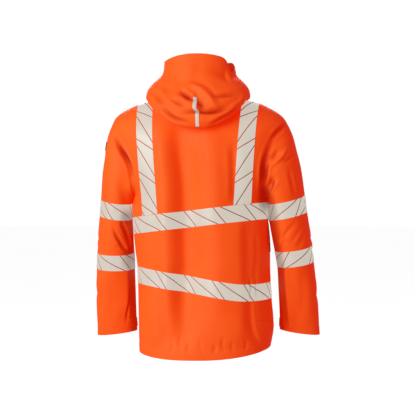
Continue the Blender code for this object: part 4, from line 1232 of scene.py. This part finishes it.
def copies(shape, size, places, along, out):
    """Many small like pieces, each at its place with its own directions: their points and faces."""
    base, faces = np.array(shape[0]) * size, shape[1]
    along = unit(along)
    side = unit(np.cross(out, along))
    axes = np.stack((side, along, np.cross(along, side)), axis=1)
    points = places[:, None] + base @ axes
    numbered = [tuple(v + len(base) * k for v in face) for k in range(len(places)) for face in faces]
    return points.reshape(-1, 3), numbered


def joined(name, parts, sharp=40):
    """One mesh of parts that each have their own points and faces."""
    points, faces, count = [], [], 0
    for part_points, part_faces in parts:
        faces += [tuple(v + count for v in face) for face in part_faces]
        points.append(part_points)
        count += len(part_points)
    return mesh_object(name, np.concatenate(points), faces, sharp=sharp)


def zip_edge(grids, side, column):
    """The points and normals of a column of a front and on up its side of the hood."""
    front, hood_side = grids[f"front_{side}"], grids[f"hood_{side}"]
    points = np.concatenate((front.points[:, column], hood_side.points[1:, column]))
    return points, np.concatenate((front.normals[:, column], hood_side.normals[1:, column]))


def add_front_zip(grids):
    """Two woven tapes under the fronts' edges and a chain of moulded teeth between them."""
    (left, left_out), (right, right_out) = (zip_edge(grids, side, 0) for side in ("left", "right"))
    middle, out = (left + right) / 2, unit((left_out + right_out) * (0, 1, 1))
    for side, way in (("left", 1), ("right", -1)):
        lines = [zip_edge(grids, side, column) for column in range(4)]
        by_chain = middle + np.array((way * ZIP_TAPE_START, 0, 0)) - out * ZIP_TAPE_UNDER
        under = [points - normals * ZIP_TAPE_UNDER for points, normals in lines]
        outer = np.stack([by_chain] + under, axis=1)
        facing = np.stack([out] + [normals for _, normals in lines], axis=1)
        cells = grid_cells(*outer.shape[:2], way)
        made, flat = sheet_wall(f"zip_tape_{side}_woven", outer, outer - facing * ZIP_TAPE_THICK, cells)
        enter(made, "zip_tape", "black_zip_tape", f"zip_tape_{side}")
    line, facing = resampled(middle - out * CHAIN_UNDER, TOOTH_PITCH, out)
    run = np.gradient(line, axis=0)
    teeth = []
    for way, shape in ((1, TOOTH), (-1, (TOOTH[0], [face[::-1] for face in TOOTH[1]]))):
        part = line + np.array((way * TEETH_APART, 0, 0)) + (run / 2 if way < 0 else 0)
        teeth.append(copies(shape, np.array(TOOTH_SIZE) * (way, 1, 1), part, run, facing))
    enter(joined("zip_chain_teeth", teeth), "teeth", "zip_teeth", "zip_chain")


def add_vents(grids):
    """The dark zip strip over each side seam: a woven tape with a coil down its middle."""
    back = grids["back"]
    levels = np.linspace(HEM, UNDERARM, BODY_ROWS + 1)
    span = np.flatnonzero((levels >= VENT_LEVELS[0]) & (levels <= VENT_LEVELS[1]))
    for side, way, seam, inner in (("left", 1, 0, 1), ("right", -1, -1, -2)):
        front = grids[f"front_{side}"]
        middle, middle_out = back.points[span, seam], back.normals[span, seam]
        points, normals = [middle], [middle_out]
        for grid, column, before in ((front, -2, True), (back, inner, False)):
            end, end_out = grid.points[span, column], grid.normals[span, column]
            share = VENT_HALF / np.linalg.norm(end - middle, axis=1, keepdims=True)
            for part in (0.5, 1.0):
                at = 0 if before else len(points)
                points.insert(at, middle + (end - middle) * share * part)
                normals.insert(at, unit(middle_out + (end_out - middle_out) * share * part))
        points, normals = np.stack(points, axis=1), np.stack(normals, axis=1)
        layers = points + normals * VENT_TAPE_OUTER, points + normals * VENT_TAPE_INNER
        made, flat = sheet_wall(f"vent_zip_{side}_woven", *layers, grid_cells(*points.shape[:2], way))
        enter(made, "zip_tape", "black_zip_tape", f"vent_zip_{side}")
        line, out = resampled(points[:, 2] + normals[:, 2] * VENT_COIL_OUT, VENT_TOOTH_PITCH, normals[:, 2])
        coil = copies(TOOTH, VENT_TOOTH_SIZE, line, np.gradient(line, axis=0), out)
        enter(joined(f"vent_coil_{side}", [coil]), "teeth", "zip_teeth")


def block(shape, low, high, bevel):
    made = bmesh.ops.create_cube(shape, size=1)["verts"]
    low, high = Vector(low), Vector(high)
    bmesh.ops.scale(shape, vec=high - low, verts=made)
    bmesh.ops.translate(shape, vec=(low + high) / 2, verts=made)
    edges = list({edge for vert in made for edge in vert.link_edges})
    bmesh.ops.bevel(shape, geom=made + edges, offset=bevel, segments=2, profile=0.6, affect="EDGES")


def add_slider():
    """The front zip's slider: two plates, a bridge and the ears that hold the pull tab."""
    foot, head = (hood(-math.pi / 2, SLIDER_HEIGHT + step) for step in (-0.1, 0.1))
    rise = Vector(head - foot).normalized()
    tilt = math.atan2(-rise.y, rise.z)
    place = Matrix.Translation(Vector(hood(-math.pi / 2, SLIDER_HEIGHT))) @ Matrix.Rotation(tilt, 4, "X")
    half_x, back_y, front_y, half_z = SLIDER
    near_x, far_x, reach, tall = EAR
    from_y, to_y = front_y + FRONT_PLATE / 2, back_y - BACK_PLATE / 2
    shape = bmesh.new()
    block(shape, (-half_x, front_y, -half_z), (half_x, front_y + FRONT_PLATE, half_z), SLIDER_BEVEL)
    block(shape, (-half_x, back_y - BACK_PLATE, -half_z), (half_x, back_y, half_z), BACK_BEVEL)
    for way in (-1, 1):
        low, high = sorted((way * (half_x - FLANGE), way * half_x))
        block(shape, (low, from_y, -half_z), (high, to_y, half_z * FLANGE_TOP), BRIDGE_BEVEL)
        low, high = sorted((way * near_x, way * far_x))
        block(shape, (low, -reach, -tall), (high, from_y, tall), SLIDER_BEVEL)
    low, high = (-BRIDGE_HALF, from_y, half_z * BRIDGE_FOOT), (BRIDGE_HALF, to_y, half_z)
    block(shape, low, high, BRIDGE_BEVEL)
    shape.verts.index_update()
    vertices = [place @ vert.co for vert in shape.verts]
    faces = [[vert.index for vert in face.verts] for face in shape.faces]
    shape.free()
    enter(mesh_object("slider_body", vertices, faces, sharp=40), "metal", "slider_metal", "zip_slider")
    return place @ Vector((0, HINGE_Y, 0))


def add_pull(hinge):
    """The pull tab: a loop at its head, then a ribbed moulded grip."""
    places, halves = zip(*PULL_PROFILE)
    ribs = np.linspace(*PULL_RIBS)
    rows = sorted({*places, *ribs.tolist()}, reverse=True)
    points, faces = [], []
    for z in rows:
        half = float(np.interp(-z, [-place for place in places], halves))
        rib = round((z - ribs[0]) / (ribs[1] - ribs[0])) % 2
        on_grip = ribs[0] + RIB_SPARE > z > ribs[-1] - RIB_SPARE
        swell = PULL_HALF_THICK * (1 - RIB_DEPTH * (1 - rib) if on_grip else 1)
        for k in range(PULL_CORNERS):
            turn = 2 * math.pi * k / PULL_CORNERS
            corner = np.array((math.cos(turn), math.sin(turn)))
            across, through = squared(corner, PULL_SQUARENESS).tolist()
            points.append((half * across, swell * through, z))
    for row in range(0, (len(rows) - 1) * PULL_CORNERS, PULL_CORNERS):
        for k in range(PULL_CORNERS):
            a, b = row + k, row + (k + 1) % PULL_CORNERS
            faces.append((a, a + PULL_CORNERS, b + PULL_CORNERS, b))
    faces.append(tuple(range(PULL_CORNERS)))
    faces.append(tuple(reversed(range(len(points) - PULL_CORNERS, len(points)))))
    made = mesh_object("pull_grip", np.array(points) + np.array(hinge), faces, sharp=50)
    enter(made, "plastic", "pull_tab", "zip_pull", body="pull_tab")


# ---------------------------------------------------------------- stitching


def line_inside(grid, border, distance):
    """The line that runs a distance inside a border of a panel, and the directions out there."""
    points, normals = grid.whole(grid.points), grid.whole(grid.normals)
    if border in ("start", "end"):
        points, normals = points.transpose(1, 0, 2), normals.transpose(1, 0, 2)
    if border in ("head", "end"):
        points, normals = points[::-1], normals[::-1]
    run = lengths(points)
    row = np.argmax(run > distance, axis=0)
    column = np.arange(points.shape[1])
    f = (distance - run[row - 1, column]) / (run[row, column] - run[row - 1, column])
    line, out = (
        values[row - 1, column] * (1 - f[:, None]) + values[row, column] * f[:, None]
        for values in (points, normals)
    )
    return line, unit(out)


def add_stitches(grids):
    lines = [*STITCHED]
    for border, distance, names in SEWN_LINES:
        lines += [(*line_inside(grids[name], border, distance), STITCH_LIFT) for name in names]
    size = (STITCH_WIDTH, STITCH_PITCH * 0.41, STITCH_HEIGHT)
    parts = []
    for line, out, lift in lines:
        places, facing = resampled(line + out * lift, STITCH_PITCH, out)
        if len(places) > 1:
            parts.append(copies(STITCH, size, places, np.gradient(places, axis=0), facing))
    enter(joined("stitching", parts, sharp=60), "thread")


# ---------------------------------------------------------------- materials


class Looks:
    """A node material built up from a few kinds of node."""

    def __init__(self, name, **sockets):
        self.material = bpy.data.materials.new(name)
        self.material.use_nodes = True
        self.tree = self.material.node_tree
        self.shader = self.tree.nodes["Principled BSDF"]
        for socket, value in sockets.items():
            self.shader.inputs[socket.replace("_", " ")].default_value = value

    def node(self, kind, **values):
        made = self.tree.nodes.new(kind)
        for key, value in values.items():
            setattr(made, key, value)
        return made

    def fill(self, socket, value):
        if isinstance(value, (int, float)):
            socket.default_value = value
        else:
            self.tree.links.new(value, socket)

    def set(self, socket, value):
        self.fill(self.shader.inputs[socket], value)

    def noise(self, scale, detail, roughness=0.5):
        made = self.node("ShaderNodeTexNoise")
        place = self.node("ShaderNodeTexCoord").outputs["Object"]
        values = {"Vector": place, "Scale": scale, "Detail": detail, "Roughness": roughness}
        for socket, value in values.items():
            self.fill(made.inputs[socket], value)
        return made.outputs["Fac"]

    def wave(self, pitch, direction):
        made = self.node("ShaderNodeTexWave", bands_direction=direction)
        self.fill(made.inputs["Scale"], 2 * math.pi / (20 * pitch))
        self.fill(made.inputs["Vector"], self.node("ShaderNodeUVMap", uv_map="cloth").outputs["UV"])
        return made.outputs["Fac"]

    def weave(self, across, along):
        return self.maths("MULTIPLY", self.wave(across, "X"), self.wave(along, "Y"))

    def maths(self, operation, *values):
        made = self.node("ShaderNodeMath", operation=operation)
        for socket, value in zip(made.inputs, values):
            self.fill(socket, value)
        return made.outputs[0]

    def scaled(self, value, by, more=0.0):
        return self.maths("MULTIPLY_ADD", value, by, more)

    def ramp(self, fac, dark, light, low=0.3, high=0.7):
        made = self.node("ShaderNodeValToRGB")
        for element, at, colour in zip(made.color_ramp.elements, (low, high), (dark, light)):
            element.position, element.color = at, (*colour, 1)
        self.fill(made.inputs["Fac"], fac)
        return made.outputs["Color"]

    def bump(self, height, distance, strength, after=None):
        made = self.node("ShaderNodeBump")
        self.fill(made.inputs["Distance"], distance)
        self.fill(made.inputs["Strength"], strength)
        self.fill(made.inputs["Height"], height)
        if after:
            self.fill(made.inputs["Normal"], after)
        self.set("Normal", made.outputs["Normal"])
        return made.outputs["Normal"]

    def unshaded_share(self, shade):
        """One where no shade is painted, and less by the given share where painted shade lies."""
        closed = self.node("ShaderNodeAttribute", attribute_name="closed_in").outputs["Fac"]
        return self.scaled(closed, -shade, 1.0)

    def painted_glow_and_shade(self, colour, shade, glow, glow_shade):
        """A base colour and a painted glow, both lowered where painted shade lies."""
        made = self.node("ShaderNodeVectorMath", operation="SCALE")
        self.fill(made.inputs[0], colour)
        self.fill(made.inputs["Scale"], self.unshaded_share(shade))
        self.set("Base Color", made.outputs[0])
        self.set("Emission Strength", self.scaled(self.unshaded_share(glow_shade), glow))


def cloth_look():
    sheen = {"Sheen_Weight": 0.05, "Sheen_Roughness": 0.5, "Sheen_Tint": (1.0, 0.40, 0.20, 1)}
    # Orange cloth with a painted glow, an emission standing in for its fluorescent light.
    look = Looks("orange_cloth", Specular_IOR_Level=0.12, Emission_Color=PAINTED_GLOW_COLOUR, **sheen)
    broad, fine = look.noise(9.0, 3.0, 0.55), look.noise(900.0, 2.0, 0.6)
    mixed = look.scaled(broad, 0.75, look.scaled(fine, 0.25))
    # Painted shade darkens the colour and the painted glow where shade is painted on the cloth.
    look.painted_glow_and_shade(look.ramp(mixed, CLOTH_DARK, CLOTH_LIGHT), PAINTED_SHADE_DARKENS, PAINTED_GLOW, PAINTED_SHADE_DIMS_GLOW)
    weave = look.weave(WEAVE_PITCH, WEAVE_PITCH)
    look.set("Roughness", look.scaled(weave, 0.10, 0.56))
    look.bump(weave, 0.00012, 0.5, look.bump(look.noise(70.0, 4.0, 0.6), 0.0006, 0.55))
    return look.material


def tape_look():
    # Tape with a painted glow, an emission standing in for retroreflected light, lowered by painted shade.
    look = Looks("reflective_tape", Metallic=0.1, Emission_Color=TAPE_PAINTED_GLOW_COLOUR)
    beads, patches = look.noise(2600.0, 1.0), look.noise(22.0, 3.0, 0.6)
    colour = look.ramp(look.scaled(beads, 0.35, look.scaled(patches, 0.65)), TAPE_DARK, TAPE_LIGHT)
    look.painted_glow_and_shade(colour, TAPE_PAINTED_SHADE_DARKENS, TAPE_PAINTED_GLOW, TAPE_PAINTED_SHADE_DARKENS)
    look.set("Roughness", look.scaled(patches, 0.16, 0.40))
    skin = look.maths("ADD", beads, look.weave(WEAVE_PITCH, WEAVE_PITCH))
    look.bump(skin, 0.00006, 0.5, look.bump(look.noise(85.0, 3.0, 0.6), 0.0005, 0.5))
    return look.material


def thread_look():
    look = Looks("orange_thread", Roughness=0.7, Sheen_Weight=0.3)
    spun = look.noise(2200.0, 1.0)
    look.set("Base Color", look.ramp(spun, THREAD_DARK, THREAD_LIGHT))
    look.bump(spun, 0.0001, 0.6)
    return look.material


def woven_look(name, across, along, light, roughness, distance, strength):
    look = Looks(name, Roughness=roughness)
    rib = look.weave(across, along)
    look.set("Base Color", look.ramp(rib, BLACK, light, 0.2, 0.9))
    look.bump(rib, distance, strength)
    return look.material


def hard_look(name, dark, light, roughness, metallic):
    look = Looks(name, Metallic=metallic)
    grain = look.noise(320.0, 3.0, 0.6)
    look.set("Base Color", look.ramp(grain, dark, light))
    look.set("Roughness", look.scaled(grain, 0.2, roughness - 0.1))
    look.bump(grain, 0.00005, 0.4)
    return look.material


def shade_laid_pieces(grids):
    """Gives what lies on the cloth the painted shade of the cloth below it."""
    tree = tree_of(np.concatenate([grid.points.reshape(-1, 3) for grid in grids.values()]))
    closed = np.concatenate([grid.closed_in for grid in grids.values()])
    for name, look in LOOKS.items():
        mesh = bpy.data.objects[name].data
        if look in ("tape", "cloth") and "closed_in" not in mesh.attributes:
            set_closed_in(mesh, closed[[tree.find(vert.co)[1] for vert in mesh.vertices]])


def dress():
    looks = {"cloth": cloth_look(), "thread": thread_look(), "tape": tape_look()}
    looks |= {look: woven_look(*values) for look, values in WOVEN_LOOKS.items()}
    looks |= {look: hard_look(*values) for look, values in HARD_LOOKS.items()}
    for name, look in LOOKS.items():
        mesh = bpy.data.objects[name].data
        index = np.zeros(len(mesh.polygons), int)
        mesh.polygons.foreach_get("material_index", index)
        mesh.materials.clear()
        for part in ("tape", "slit") if look == "tape" else (look,):
            mesh.materials.append(looks[part])
        mesh.polygons.foreach_set("material_index", index)


# ---------------------------------------------------------------- studio


def seen_from(azimuth, elevation):
    """The direction from the jacket towards a place round it; azimuth 0 is in front."""
    turn, rise = math.radians(azimuth), math.radians(elevation)
    return Vector((math.sin(turn) * math.cos(rise), -math.cos(turn) * math.cos(rise), math.sin(rise)))


def placed(name, data, target, way, distance):
    made = bpy.data.objects.new(name, data)
    made.location = Vector(target) + way * distance
    made.rotation_euler = (-way).to_track_quat("-Z", "Y").to_euler()
    bpy.context.scene.collection.objects.link(made)
    return made


def backdrop_look(made, name, tone, tones, **sockets):
    look = Looks(name, **sockets)
    socket = "Emission Color" if made.name == "backdrop" else "Base Color"
    look.set(socket, look.ramp(look.noise(*tone), *((value,) * 3 for value in tones)))
    made.data.materials.append(look.material)


def add_backdrop():
    """A plain white dome and a pale floor. Neither throws light on the jacket; the lamps do that."""
    bpy.ops.mesh.primitive_uv_sphere_add(segments=64, ring_count=32, radius=DOME_RADIUS)
    dome = bpy.context.object
    bpy.ops.mesh.primitive_circle_add(vertices=96, radius=14, fill_type="NGON", location=(0, 0, FLOOR_Z))
    floor = bpy.context.object
    dome.name, floor.name = "backdrop", "floor"
    glow = {"Base_Color": (0, 0, 0, 1), "Emission_Strength": 1.02}
    backdrop_look(dome, "white_backdrop", (0.4, 1.0), (1.0, 0.99), Roughness=1.0, **glow)
    glow = {"Emission_Color": (1, 1, 1, 1), "Emission_Strength": FLOOR_GLOW}
    backdrop_look(floor, "pale_floor", (1.5, 2.0), (0.80, 0.83), Roughness=0.9, **glow)
    for stage in (dome, floor):
        stage.visible_diffuse = stage.visible_glossy = stage.visible_shadow = False


def add_studio():
    scene = bpy.context.scene
    scene.view_settings.view_transform = "Standard"
    scene.world = bpy.data.worlds.new("studio")
    scene.world.use_nodes = True
    background = scene.world.node_tree.nodes["Background"]
    background.inputs["Color"].default_value = (1, 1, 1, 1)
    background.inputs["Strength"].default_value = AMBIENT
    add_backdrop()
    for name, azimuth, elevation, size, strength in LIGHTS:
        lamp = bpy.data.lights.new(name, "AREA")
        lamp.shape = "RECTANGLE"
        lamp.size = lamp.size_y = size
        lamp.energy = strength * math.pi**2 * LIGHT_DISTANCE**2
        placed(name, lamp, LIT_POINT, seen_from(azimuth, elevation), LIGHT_DISTANCE)
    data = bpy.data.cameras.new("camera")
    data.lens, data.sensor_width = 112, 36
    scene.camera = placed("camera", data, CAMERA_TARGET, seen_from(*CAMERA_FROM), CAMERA_DISTANCE)


def main():
    grids = shape_jacket()
    add_panels(grids)
    add_body_bands(grids)
    add_braces(grids)
    add_sleeve_bands(grids)
    add_cuff_tabs(grids)
    add_hood_strip(grids)
    add_patch(grids)
    add_vents(grids)
    add_front_zip(grids)
    add_pull(add_slider())
    add_stitches(grids)
    shade_laid_pieces(grids)
    dress()
    add_studio()


main()
